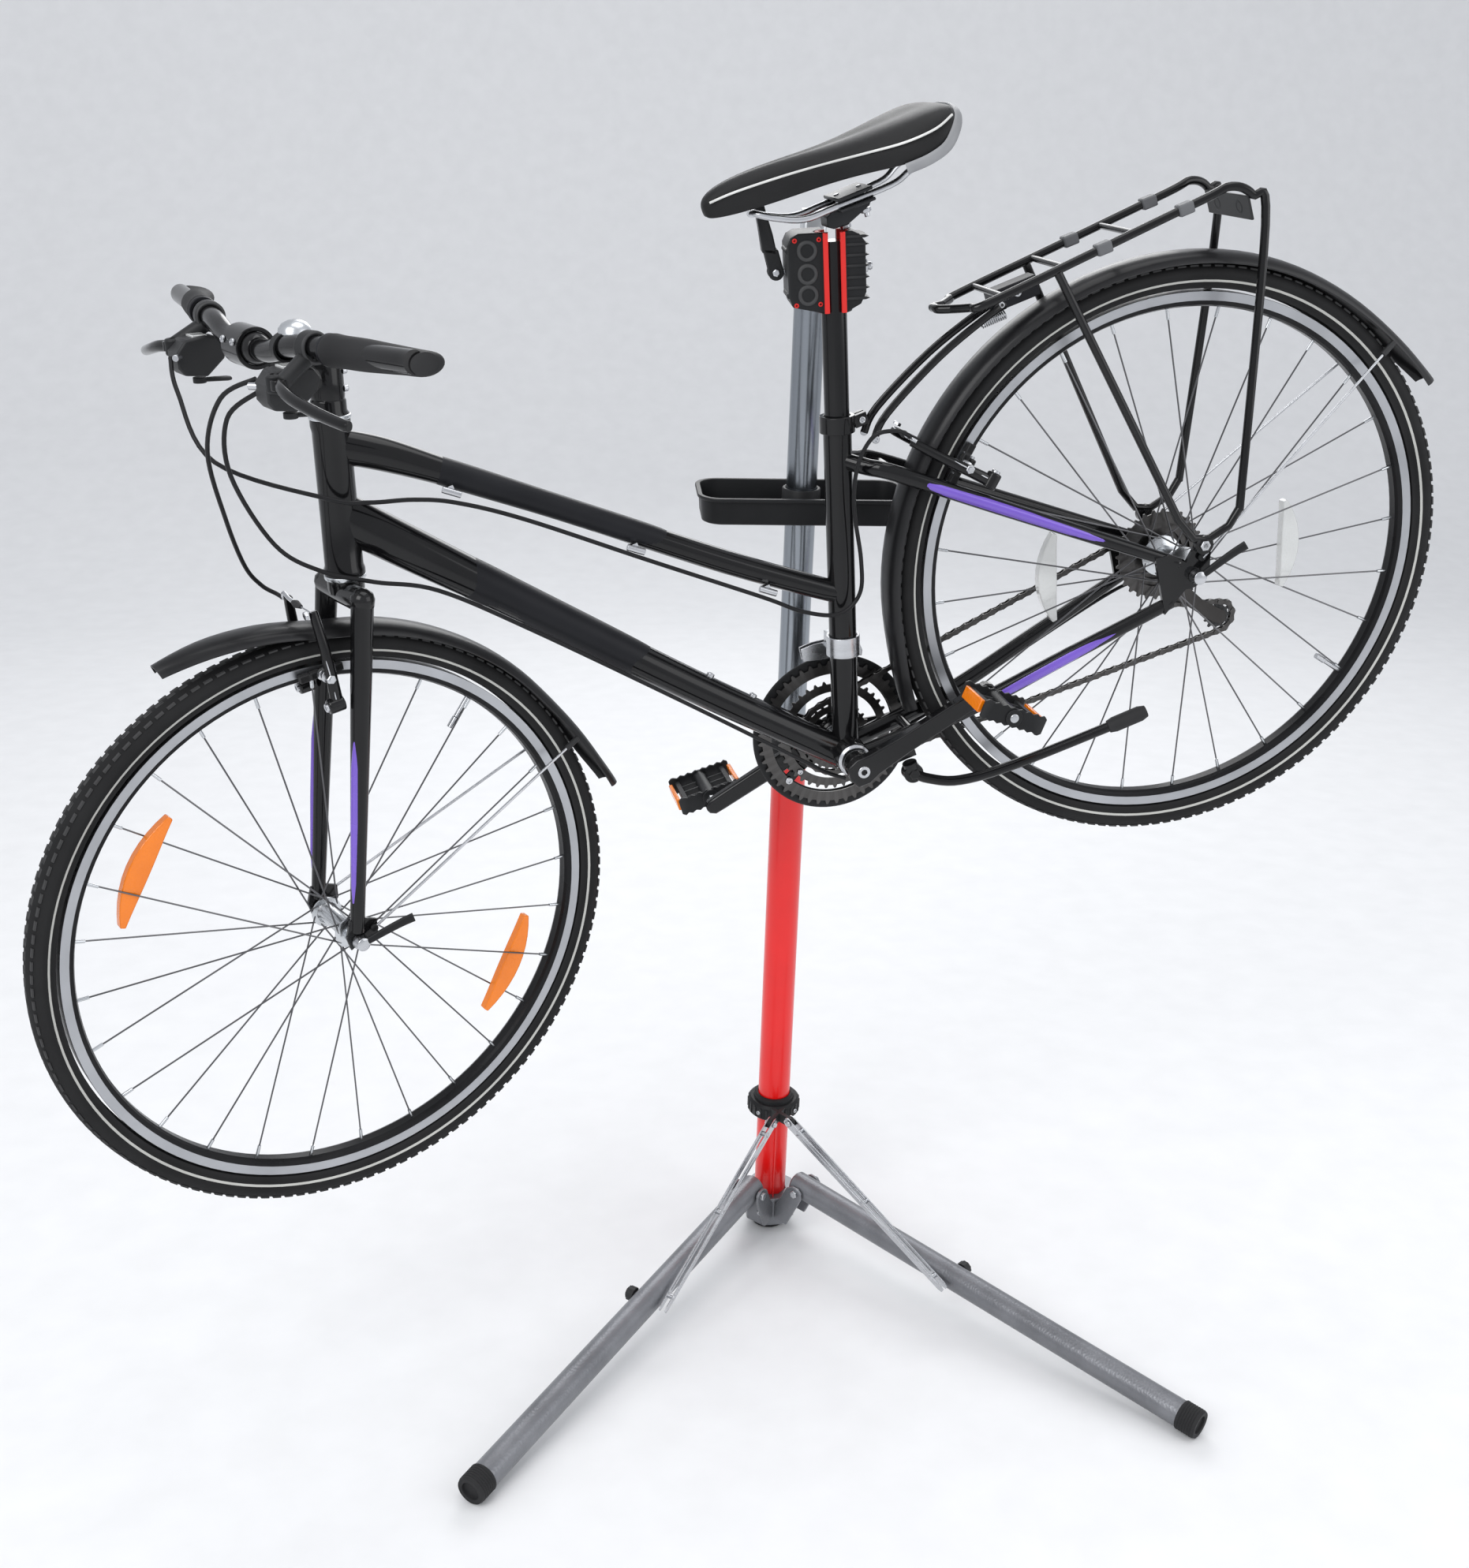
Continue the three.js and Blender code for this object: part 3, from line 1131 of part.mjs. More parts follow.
for (const [side, s] of [['left', -1], ['right', 1]]) {
  const gripStart = barSpan - GRIP_LENGTH;
  add(
    front,
    `grip_${side}`,
    cut(
      join(
        rod(barAt(s, gripStart), barAt(s, gripStart + 50), GRIP_R + 1, 14, GRIP_R),
        rod(barAt(s, gripStart + 50), barAt(s, barSpan + 4), GRIP_R, 14, GRIP_R + 5),
      ),
      rod(barAt(s, 0), barAt(s, barSpan + GAP), BAR_R + GAP, 12),
    ),
    RUBBER,
  );
  add(
    front,
    `shifter_${side}`,
    cut(
      join(
        rod(barAt(s, 18), barAt(s, 34), BAR_R + 5, 14),
        rod(barAt(s, 26).add(V(-6, 0, -8)), LEVER_PIVOT(s).add(V(3, 0, 3)), 8, 8),
        slab([[-116, 622], [-84, 612], [-62, 634], [-68, 650], [-104, 650]], s < 0 ? -136 : 104,
          s < 0 ? -104 : 136),
      ),
      rod(barAt(s, 0), barAt(s, 60), BAR_R + GAP, 12),
      rod(LEVER_PIVOT(s).add(V(0, 0, -20)), LEVER_PIVOT(s).add(V(0, 0, 20)), 8 + RUN, 10),
    ),
    PLASTIC,
  );
  add(
    nest(front, TRIGGER_PIVOT(s)),
    `trigger_${side}`,
    join(rod(V(0, 0, -3), V(0, 0, 3), 7, 10), slab([[0, -2.5], [34, -4.5], [34, 1.5], [0, 2.5]], -6,
      6)),
    PLASTIC,
  );
  add(
    front,
    `lever_${side}`,
    join(
      rod(LEVER_PIVOT(s).add(V(0, 0, -5)), LEVER_PIVOT(s).add(V(0, 0, 5)), 8, 10),
      bars([LEVER_PIVOT(s), V(-113, s * 182, 634), V(-106, s * 226, 626), V(-97, s * 264, 620)], 5, 8),
    ),
    BLACK,
  );
}

// ---------------------------------------------------------------- bicycle: control cables
// Points on the handlebar side are turned with the steering into the bicycle's own frame.
whole.updateMatrixWorld(true);
const toBike = (p) => bike.worldToLocal(front.localToWorld(p.clone()));
add(
  bike,
  'cable_brake_rear',
  sweep([toBike(V(-119, 118, 632)), toBike(V(-130, 76, 604)), toBike(V(-120, 20, 540)), V(-430, -34,
    520),
    V(-394, -30, 500), V(-351, -25, 484), V(-311, -22, 463), V(-250, -20, 417), V(-140, -20, 320),
      V(-36, -22, 230),
    V(2, -26, 196), V(40, -28, 177), V(70, -28, 190), V(84, -28, 228), V(94, -32, 290), V(110, -42,
      336),
    V(134, -54, 364), V(158, -58, 362), V(172, -50, 350), V(176, -41.5, 344)], CABLE_R, 38),
  PLASTIC,
);
add(
  bike,
  'cable_shift',
  sweep([toBike(V(-112, -102, 628)), toBike(V(-134, -70, 600)), toBike(V(-130, -50, 540)), V(-500,
    -44, 500),
    V(-470, -38, 455), V(-424, -32, 420), V(-366, -30, 384), V(-290, -30, 302), V(-160, -29, 148),
      V(-60, -28, 26),
    V(-36, -26, -4), V(-16, -22, -24)], CABLE_R, 26),
  PLASTIC,
);
add(
  front,
  'cable_brake_front',
  sweep([V(-112, -100, 640), V(-138, -70, 620), V(-140, -20, 560), V(-116, 20, 480), V(-92, 48, 420),
    V(-74, 54, 394), V(-60, 48, 383), V(-57, 40, 380)], CABLE_R, 20),
  PLASTIC,
);

export default whole;
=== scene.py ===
import bmesh
import bpy
import json
import math
from math import cos, pi, radians, sin
from mathutils import Matrix, Vector


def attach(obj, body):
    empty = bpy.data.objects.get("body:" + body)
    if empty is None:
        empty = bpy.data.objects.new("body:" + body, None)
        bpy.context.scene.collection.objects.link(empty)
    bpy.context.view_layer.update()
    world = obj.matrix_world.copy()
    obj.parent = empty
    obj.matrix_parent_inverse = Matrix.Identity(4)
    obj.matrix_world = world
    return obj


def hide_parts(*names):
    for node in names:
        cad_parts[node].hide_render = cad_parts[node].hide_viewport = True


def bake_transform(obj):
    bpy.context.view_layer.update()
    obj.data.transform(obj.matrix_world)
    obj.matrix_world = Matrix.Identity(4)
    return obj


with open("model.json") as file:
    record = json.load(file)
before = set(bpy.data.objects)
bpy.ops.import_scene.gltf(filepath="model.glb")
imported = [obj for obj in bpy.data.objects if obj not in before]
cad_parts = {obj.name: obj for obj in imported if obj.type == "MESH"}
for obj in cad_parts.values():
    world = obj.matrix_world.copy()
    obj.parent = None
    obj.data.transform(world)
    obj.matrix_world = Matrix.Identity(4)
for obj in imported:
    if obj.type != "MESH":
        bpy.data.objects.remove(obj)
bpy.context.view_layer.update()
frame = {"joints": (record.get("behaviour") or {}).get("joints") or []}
joint = {j["name"]: j for j in frame["joints"]}

# ---------------------------------------------------------------- view, floor and light
# The bicycle is looked at from its left and a little from above, in a plain pale
# studio with one large soft key light, a fill and a rim light.
eye = Vector((-0.4149, -2.2372, 1.4286))
yaw, pitch, roll = radians(-8.964), radians(-18.138), radians(-0.97)
forward = Matrix.Rotation(yaw, 3, "Z") @ Vector((0, cos(pitch), sin(pitch)))
level = Matrix.Rotation(yaw, 3, "Z") @ Vector((1, 0, 0))
right = Matrix.Rotation(roll, 3, forward) @ level
camera_data = bpy.data.cameras.new("camera")
camera_data.lens = 40.03
camera_data.sensor_width = 36
camera = bpy.data.objects.new("camera", camera_data)
camera.matrix_world = Matrix.Translation(eye) @ Matrix((right, right.cross(forward),
        -forward)).transposed().to_4x4()
bpy.context.scene.collection.objects.link(camera)
bpy.context.scene.camera = camera

world = bpy.data.worlds.new("studio")
world.use_nodes = True
world.node_tree.nodes["Background"].inputs["Color"].default_value = (0.93, 0.95, 1.0, 1)
world.node_tree.nodes["Background"].inputs["Strength"].default_value = 0.7
bpy.context.scene.world = world
bpy.context.scene.view_settings.view_transform = "Standard"
for name, place, size, power in [("key", (-2.6, -3.2, 3.6), 2.6, 90), ("fill", (3.4, -2.4, 2.2), 3.0, 40),
                                 ("rim", (0.6, 3.4, 3.2), 2.4, 50), ("top", (0.2, -0.4, 4.4), 2.5, 35)]:
    lamp = bpy.data.lights.new(name, "AREA")
    lamp.size = size
    lamp.energy = power
    light = bpy.data.objects.new(name, lamp)
    aim = Vector((0, -0.3, 0.8)) - Vector(place)
    light.matrix_world = Matrix.Translation(place) @ aim.to_track_quat("-Z", "Y").to_matrix().to_4x4()
    bpy.context.scene.collection.objects.link(light)


# Each material is a shader with uneven colour, uneven gloss and a fine surface grain.
def finish(name, colour, rough, metal=0.0, uneven=0.18, grain=900, bump=0.06, stretch=(1, 1, 1), coat=0.0,
           cells=False, worn=0.0):
    made = bpy.data.materials.new(name)
    made.use_nodes = True
    nodes, links = made.node_tree.nodes, made.node_tree.links
    shader = nodes["Principled BSDF"]
    shader.inputs["Metallic"].default_value = metal
    shader.inputs["Coat Weight"].default_value = coat
    shader.inputs["Coat Roughness"].default_value = 0.08
    shader.inputs["Specular IOR Level"].default_value = 0.5 if max(colour) > 0.05 else 0.2
    place = nodes.new("ShaderNodeTexCoord")
    spread = nodes.new("ShaderNodeMapping")
    spread.inputs["Scale"].default_value = stretch
    links.new(place.outputs["Object"], spread.inputs["Vector"])
    cloud = nodes.new("ShaderNodeTexNoise")
    cloud.inputs["Scale"].default_value = 14
    cloud.inputs["Detail"].default_value = 6
    links.new(spread.outputs["Vector"], cloud.inputs["Vector"])
    tint = nodes.new("ShaderNodeValToRGB")
    tint.color_ramp.elements[0].position = 0.3
    tint.color_ramp.elements[0].color = (*[c * (1 - uneven) for c in colour], 1)
    tint.color_ramp.elements[1].position = 0.7
    tint.color_ramp.elements[1].color = (*[min(1, c * (1 + uneven) + 0.02 * uneven) for c in colour], 1)
    links.new(cloud.outputs["Fac"], tint.inputs["Fac"])
    last = tint.outputs["Color"]
    if worn:
        shape = nodes.new("ShaderNodeNewGeometry")
        edge = nodes.new("ShaderNodeMapRange")
        edge.inputs["From Min"].default_value = 0.53
        edge.inputs["From Max"].default_value = 0.62
        edge.inputs["To Max"].default_value = worn
        links.new(shape.outputs["Pointiness"], edge.inputs["Value"])
        rub = nodes.new("ShaderNodeMix")
        rub.data_type = "RGBA"
        rub.inputs["B"].default_value = (*[min(1, c * 1.6 + 0.12) for c in colour], 1)
        links.new(edge.outputs["Result"], rub.inputs["Factor"])
        links.new(last, rub.inputs["A"])
        last = rub.outputs["Result"]
    links.new(last, shader.inputs["Base Color"])
    gloss = nodes.new("ShaderNodeMapRange")
    gloss.inputs["To Min"].default_value = max(0.02, rough - 0.08)
    gloss.inputs["To Max"].default_value = min(1, rough + 0.1)
    links.new(cloud.outputs["Fac"], gloss.inputs["Value"])
    links.new(gloss.outputs["Result"], shader.inputs["Roughness"])
    fine = nodes.new("ShaderNodeTexVoronoi" if cells else "ShaderNodeTexNoise")
    fine.inputs["Scale"].default_value = grain
    links.new(spread.outputs["Vector"], fine.inputs["Vector"])
    relief = nodes.new("ShaderNodeBump")
    relief.inputs["Strength"].default_value = bump
    relief.inputs["Distance"].default_value = 0.0006
    links.new(fine.outputs["Distance" if cells else "Fac"], relief.inputs["Height"])
    links.new(relief.outputs["Normal"], shader.inputs["Normal"])
    return made


pale = finish("studio_floor", (0.84, 0.845, 0.85), 0.7, uneven=0.02, bump=0.02)
floor_mesh = bpy.data.meshes.new("floor")
bend = [(4 + 3 * sin(radians(a)), 3 - 3 * cos(radians(a))) for a in range(0, 91, 6)]
sweep = [(-9, 0)] + bend + [(7, 7)]
floor_mesh.from_pydata([(x, y, z) for y, z in sweep for x in (-9, 9)], [],
                       [(2 * i, 2 * i + 1, 2 * i + 3, 2 * i + 2) for i in range(len(sweep) - 1)])
floor_mesh.shade_smooth()
floor_mesh.materials.append(pale)
floor = bpy.data.objects.new("floor", floor_mesh)
bpy.context.scene.collection.objects.link(floor)

# ---------------------------------------------------------------- stand: rubber foot and lower mast
# The red steel mast is a seam-welded tube, pressed flat-sided near the ground, that stands
# on a moulded rubber foot. It leans a few degrees so that the load sits over the legs.
MM = 0.001


# A local frame in millimetres: y is exact, z as near as it can be.
def axes(origin, y, z):
    y = Vector(y).normalized()
    x = y.cross(Vector(z)).normalized()
    z = x.cross(y)
    turn = Matrix((x, y, z)).transposed().to_4x4()
    return Matrix.Translation(Vector(origin)) @ turn @ Matrix.Scale(MM, 4)


def move(x=0, y=0, z=0):
    return Matrix.Translation((x, y, z))


def turn(axis, degrees):
    return Matrix.Rotation(radians(degrees), 4, axis)


# A bar through points: radius is one size or one per point, each a size or (sideways, upright).
def pipe(points, radius, sides=20, ends=True):
    points = [Vector(p) for p in points]
    sizes = radius if isinstance(radius, list) else [radius] * len(points)
    across, corners, faces = None, [], []
    for i, at in enumerate(points):
        way = (points[min(i + 1, len(points) - 1)] - points[max(i - 1, 0)]).normalized()
        if across is None:
            across = Vector((0, 1, 0)) if abs(way.y) < 0.8 else Vector((1, 0, 0))
        across = (across - way * across.dot(way)).normalized()
        other = way.cross(across)
        a, b = sizes[i] if isinstance(sizes[i], tuple) else (sizes[i], sizes[i])
        corners += [at + across * a * cos(2 * pi * k / sides) + other * b * sin(2 * pi * k / sides)
                    for k in range(sides)]
    for i in range(len(points) - 1):
        for k in range(sides):
            n = (k + 1) % sides
            faces.append((i * sides + k, i * sides + n, (i + 1) * sides + n, (i + 1) * sides + k))
    if ends:
        faces.append(tuple(reversed(range(sides))))
        faces.append(tuple(range(len(corners) - sides, len(corners))))
    return corners, faces


# A smooth route through a few points, each perhaps with its own size.
def smooth(points, steps=6):
    points = [Vector(p) for p in points]
    route = []
    for i in range(len(points) - 1):
        p0, p1 = points[max(i - 1, 0)], points[i]
        p2, p3 = points[i + 1], points[min(i + 2, len(points) - 1)]
        for s in range(steps):
            t = s / steps
            route.append(0.5 * ((2 * p1) + (p2 - p0) * t + (2 * p0 - 5 * p1 + 4 * p2 - p3) * t * t
                                + (3 * p1 - p0 - 3 * p2 + p3) * t * t * t))
    return route + [points[-1]]


# A turned shape: (radius, along) pairs about a line through origin.
def turned(profile, origin=(0, 0, 0), axis=(0, 1, 0), sides=40, closed=False):
    way = Vector(axis).normalized()
    across = way.orthogonal().normalized()
    other = way.cross(across)
    corners, faces = [], []
    for r, h in profile:
        corners += [Vector(origin) + way * h + (across * cos(2 * pi * k / sides) + other * sin(2 * pi * k / sides))
                    * max(r, 1e-4) for k in range(sides)]
    rows = len(profile)
    for i in range(rows if closed else rows - 1):
        for k in range(sides):
            n, j = (k + 1) % sides, (i + 1) % rows
            faces.append((i * sides + k, i * sides + n, j * sides + n, j * sides + k))
    return corners, faces


# A plate with its outline in the XZ plane, from y0 to y1.
def plate(outline, y0, y1):
    n = len(outline)
    corners = [Vector((x, y, z)) for y in (y0, y1) for x, z in outline]
    faces = [(k, (k + 1) % n, n + (k + 1) % n, n + k) for k in range(n)]
    return corners, faces + [tuple(reversed(range(n))), tuple(range(n, 2 * n))]


def brick(x0, x1, y0, y1, z0, z1):
    return plate([(x0, z0), (x1, z0), (x1, z1), (x0, z1)], y0, y1)


def placed(matrix, *parts):
    return [([matrix @ Vector(c) for c in corners], faces) for corners, faces in parts]


def around(count, part, origin=(0, 0, 0), axis="Y", start=0):
    spin = [move(*origin) @ turn(axis, start + 360 * i / count) @ move(*[-o for o in origin]) for i in range(count)]
    return [p for m in spin for p in placed(m, part)]


# Joins loose parts into one named piece, rounds its edges and lets it ride on a body.
def piece(name, body, where, parts, material, replaces=(), edge=0.5, crease=38):
    corners, faces = [], []
    for more_corners, more_faces in parts:
        faces += [tuple(len(corners) + i for i in f) for f in more_faces]
        corners += [where @ Vector(c) for c in more_corners]
    mesh = bpy.data.meshes.new(name)
    mesh.from_pydata(corners, [], faces)
    work = bmesh.new()
    work.from_mesh(mesh)
    bmesh.ops.remove_doubles(work, verts=work.verts, dist=1e-6)
    bmesh.ops.recalc_face_normals(work, faces=work.faces)
    work.to_mesh(mesh)
    work.free()
    mesh.materials.append(material)
    mesh.shade_smooth()
    mesh.set_sharp_from_angle(angle=radians(crease))
    made = bpy.data.objects.new(name, mesh)
    bpy.context.scene.collection.objects.link(made)
    if edge:
        bevel = made.modifiers.new("edge", "BEVEL")
        bevel.width = edge * MM
        bevel.segments = 2
        bevel.limit_method = "ANGLE"
        bevel.angle_limit = radians(40)
    if body:
        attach(made, body)
    if replaces:
        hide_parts(*replaces)
    return made


up_mast = Vector(joint["mast_slide"]["axis"])
mast = axes((0, 0, 0), up_mast.cross(Vector(joint["height_lever_swing"]["axis"])), up_mast)
rubber = finish("black_rubber", (0.02, 0.02, 0.021), 0.62, grain=1400, bump=0.2, worn=0.25)
red_paint = finish("red_enamel", (0.80, 0.003, 0.002), 0.3, 0.0, uneven=0.06, coat=0.3, grain=260,
                   bump=0.05, worn=0.2)
MAST_R = 22.5
LOWER_TOP = 782
piece("foot_rubber", "stand_base", axes((0, 0, 0), (0, 1, 0), (0, 0, 1)),
      [turned([(0, 0), (21, 0), (24, 2), (24.5, 6), (22, 8), (24.5, 10), (24.5, 14), (21, 16), (0, 16)],
              axis=(0, 0, 1))], rubber, ["mast_foot"])
piece("lower_mast_tube", "stand_base", mast,
      [turned([(20.3, 14.5), (MAST_R, 14.5), (MAST_R, 60), (MAST_R, 400), (MAST_R, LOWER_TOP - 1), (20.3,
              LOWER_TOP - 1)],
              axis=(0, 0, 1), closed=True),
       pipe([(0, -MAST_R + 0.6, 16), (0, -MAST_R + 0.3, 190)], (9, 1.1), 12)],
      red_paint, ["mast_lower"])

# ---------------------------------------------------------------- stand: hub block and legs
# An eight-sided cast block grips the mast. Its pairs of ears hold two round steel legs in a
# hammered grey finish, each on a cross bolt, with a ribbed black end cap pressed on.
grey_paint = finish("grey_hammered", (0.20, 0.205, 0.22), 0.36, 0.55, uneven=0.22, cells=True, grain=330,
                    bump=0.35,
                    worn=0.25)
black_plastic = finish("black_moulding", (0.012, 0.0125, 0.0135), 0.42, grain=2200, bump=0.12, worn=0.3)
steel = finish("bright_steel", (0.55, 0.56, 0.58), 0.26, 1.0, uneven=0.1, grain=500, stretch=(1, 1, 9),
               bump=0.05)
LEG_TURN = {"left": -129, "right": -51}
PIVOT = (66, 0, 92)
LEG_DROP = 2.05
LEG_LENGTH = 641.4


def hexagon(origin, axis, r=6.2, height=4.5):
    return turned([(0, 0), (r, 0), (r, height - 0.8), (r - 0.9, height), (0, height)], origin, axis,
                  sides=6)


def socket_bolt(origin, axis, r=4.5, height=4):
    return turned([(0, 0), (r, 0), (r, height - 0.7), (r - 0.7, height), (r * 0.5, height), (r * 0.45,
            height - 2),
                   (0, height - 2)], origin, axis, sides=20)


eight = [(38 * cos(radians(22.5 + 45 * k)), 38 * sin(radians(22.5 + 45 * k))) for k in range(8)]
block_parts = []
for low, high in [(16, 62)]:
    ring = [(x, y) for x, y in eight]
    hole = [(23.2 * cos(2 * pi * k / 8 + pi / 8), 23.2 * sin(2 * pi * k / 8 + pi / 8)) for k in range(8)]
    corners = [Vector((x, y, z)) for z in (low, high) for x, y in ring + hole]
    faces = [(k, (k + 1) % 8, 16 + (k + 1) % 8, 16 + k) for k in range(8)]
    faces += [(8 + (k + 1) % 8, 8 + k, 24 + k, 24 + (k + 1) % 8) for k in range(8)]
    faces += [(k, 8 + k, 8 + (k + 1) % 8, (k + 1) % 8) for k in range(8)]
    faces += [(16 + k, 16 + (k + 1) % 8, 24 + (k + 1) % 8, 24 + k) for k in range(8)]
    block_parts.append((corners, faces))
ear_outline = [(30, 30), (52, 30), (72, 74), (77, 86), (77, 96), (71, 101), (60, 101), (50, 94), (34,
        60), (30, 56)]
pins = []
for degrees in LEG_TURN.values():
    for y in (-22.7, 18.7):
        block_parts += placed(turn("Z", degrees), plate(ear_outline, y, y + 4))
    pins += placed(turn("Z", degrees), pipe([(66, -25, 92), (66, 25, 92)], 4, 16),
                   hexagon((66, 22.7, 92), (0, 1, 0)),
                   hexagon((66, -22.7, 92), (0, -1, 0)))
for x in (-27, 27):
    pins.append(socket_bolt((x * 0.7, -36.5 + abs(x) * 0.1, 40), (0, -1, 0), 5, 3.4))
piece("hub_block", "stand_base", mast, block_parts, grey_paint, ["leg_hub"], edge=1.2)
piece("hub_bolts", "stand_base", mast, pins, steel)
for side, degrees in LEG_TURN.items():
    outward = -1 if side == "left" else 1
    leg = mast @ turn("Z", degrees) @ move(*PIVOT) @ turn("Y", LEG_DROP)
    body = f"{side}_leg"
    piece(f"leg_tube_{side}", body, leg,
          [turned([(0, -17), (15, -17), (17.5, -14), (17.5, 300), (17.5, LEG_LENGTH - 26), (0,
                  LEG_LENGTH - 26)],
                  axis=(1, 0, 0), sides=48)], grey_paint, [f"leg_{side}"])
    ribs = [(19, LEG_LENGTH - 26)]
    for k in range(6):
        ribs += [(19, LEG_LENGTH - 23 + 3.4 * k), (18, LEG_LENGTH - 22 + 3.4 * k), (19,
                LEG_LENGTH - 21 + 3.4 * k)]
    piece(f"leg_end_{side}", body, leg,
          [turned([(17.6, LEG_LENGTH - 27)] + ribs + [(17.5, LEG_LENGTH), (12, LEG_LENGTH - 0.5), (11,
                  LEG_LENGTH - 4),
                                                       (0, LEG_LENGTH - 4)], axis=(1, 0, 0), sides=48)],
          rubber)
    fins = around(10, brick(262, 270, outward * 24 - 5, outward * 24 + 5, 7, 9.2), (266, 0, 0), "Y")
    piece(f"leg_knob_{side}", body, leg,
          [turned([(0, 0), (6, 0), (6, 3), (8.6, 4), (8.6, 12), (7, 14), (0, 14.6)], (266, outward * 17,
                  0),
                  (0, outward, 0))] + fins, black_plastic)

# ---------------------------------------------------------------- stand: sliding collar and struts
# A ribbed black collar slides up the mast to fold the legs. From its ears two pairs of pressed
# steel straps, riveted together at their cross pieces, run down to the legs.
collar_ribs = around(24, brick(36, 37.6, -1.5, 1.5, 201, 215), (0, 0, 0), "Z", 4)
collar_arms = []
for side, degrees in LEG_TURN.items():
    y = 27 if side == "left" else -27
    collar_arms += placed(turn("Z", degrees), brick(20, 56, y - 2.6, y + 2.6, 205, 219),
                          turned([(0, -2.6), (7, -2.6), (7, 2.6), (0, 2.6)], (56, y, 212)))
piece("collar_body", "collar", mast,
      [turned([(23.4, 196), (33, 196), (36.6, 199.5), (36.6, 216.5), (33, 220), (29, 220), (28, 225),
               (24.5, 227),
               (23.4, 227)], axis=(0, 0, 1), sides=48, closed=True)] + collar_ribs + collar_arms,
      black_plastic, ["slide_collar"], edge=0.7)
collar_pins = []
for side, degrees in LEG_TURN.items():
    y = 27 if side == "left" else -27
    collar_pins += placed(turn("Z", degrees), pipe([(56, y - 7.4, 212), (56, y + 7.4, 212)], 3, 12),
                          turned([(0, 0), (5, 0), (3.6, 2), (0, 2.6)], (56, y + 6.3, 212)),
                          turned([(0, 0), (5, 0), (3.6, 2), (0, 2.6)], (56, y - 6.3, 212), (0, -1, 0)))
for k in range(4):
    collar_pins += placed(turn("Z", 45 + 90 * k), socket_bolt((36.4, 0, 208), (1, 0, 0), 3.2, 2.4))
piece("collar_pins", "collar", mast, collar_pins, steel)
STRAP = 304.7
for side, degrees in LEG_TURN.items():
    inner = 1 if side == "left" else -1
    end = mast.inverted() @ (mast @ turn("Z", degrees) @ move(*PIVOT) @ turn("Y",
            LEG_DROP) @ Vector((266, 0, 0)))
    local_end = turn("Z", -degrees) @ end
    slope = math.degrees(math.atan2(212 - local_end.z, local_end.x - 56))
    brace = mast @ turn("Z", degrees) @ move(56, inner * 22.5, 212) @ turn("Y", slope)
    straps, rivets = [], []
    for y in (0, inner * 9):
        taper = [(-8, -4), (-4, -6.4), (30, -6.2), (STRAP, -4.2), (STRAP + 6, -2.5), (STRAP + 6, 2.5),
                 (STRAP, 4.2),
                 (30, 6.2), (-4, 6.4), (-8, 4)]
        straps.append(plate(taper, y - 0.8, y + 0.8))
        straps.append(pipe([(24, y + inner * 0.7, 0), (STRAP - 24, y + inner * 0.7, 0)], (0.8, 2.0), 10))
    for x in (19, STRAP / 2, STRAP - 17):
        rivets += [pipe([(x, min(0, inner * 9), 0), (x, max(0, inner * 9), 0)], 3.6, 16),
                   turned([(0, 2), (3.4, 0.6), (3.6, 0)], (x, inner * 9.8, 0), (0, inner, 0)),
                   turned([(0, 2), (3.4, 0.6), (3.6, 0)], (x, -inner * 0.8, 0), (0, -inner, 0))]
    piece(f"strut_{side}", f"{side}_brace", brace, straps, steel, [f"brace_{side}"], edge=0.3)
    piece(f"strut_rivets_{side}", f"{side}_brace", brace, rivets, steel, edge=0)

# ---------------------------------------------------------------- stand: height clamp and upper mast
# A moulded clamp at the top of the red tube is pinched by a cam lever behind it, and holds the
# bright upper tube, which slides inside.
height_clamp = [turned([(23, 752), (28, 752), (28.6, 755), (28.6, 790), (27, 797), (19.9, 798), (19.9,
        783), (23, 783)],
                       axis=(0, 0, 1), sides=48, closed=True),
                turned([(28.8, 758), (29.6, 760), (29.6, 763), (28.8, 765)], axis=(0, 0, 1), sides=48),
                brick(-9, 9, 24, 46, 758, 792), brick(-1.6, 1.6, 27, 47, 754, 796)]
piece("height_clamp_shell", "stand_base", mast, height_clamp, black_plastic,
      ["height_clamp"], edge=1)
lever_at = Vector(joint["height_lever_swing"]["pos_m"])
lever_frame = axes(lever_at, mast.col[1].xyz, mast.col[2].xyz)
piece("height_lever_handle", "height_lever_arm", lever_frame,
      [turned([(0, -3.5), (8, -3.5), (8, 8), (0, 8)], axis=(1, 0, 0)),
       pipe(smooth([(4.5, 0, -4), (5, 1, -30), (6, 3, -58), (6, 4, -68)]),
            [(5.5, 3.4)] * 18 + [(3.4, 2.4)], 16)],
      black_plastic, ["height_lever"], edge=0.8)
piece("height_clamp_bolt", "stand_base", mast,
      [hexagon((-9, 37.5, 775), (-1, 0, 0), 6.5, 5), pipe([(-9, 37.5, 775), (9, 37.5, 775)], 3.5, 12)],
      steel)
silver_tube = finish("bright_tube", (0.30, 0.325, 0.355), 0.22, 1.0, uneven=0.06, grain=700, stretch=(6,
        6, 0.4), bump=0.04)
piece("upper_mast_tube", "upper_mast", mast,
      [turned([(17.4, 420), (19, 420), (19, 700), (19, 1000), (19, 1367.5), (17.4, 1367.5)], axis=(0, 0,
              1), sides=48,
              closed=True)], silver_tube, ["mast_upper"])

# ---------------------------------------------------------------- stand: tool tray
# An injection moulded tray with rounded corners, a rolled rim, ribs on its floor, screwdriver
# holes along the back and a split sleeve round the mast.
head = axes(joint["clamp_turn"]["pos_m"], joint["clamp_turn"]["axis"], up_mast)
tray = Matrix.Translation(mast @ Vector((0, 0, 1074))) @ head.to_3x3().to_4x4()


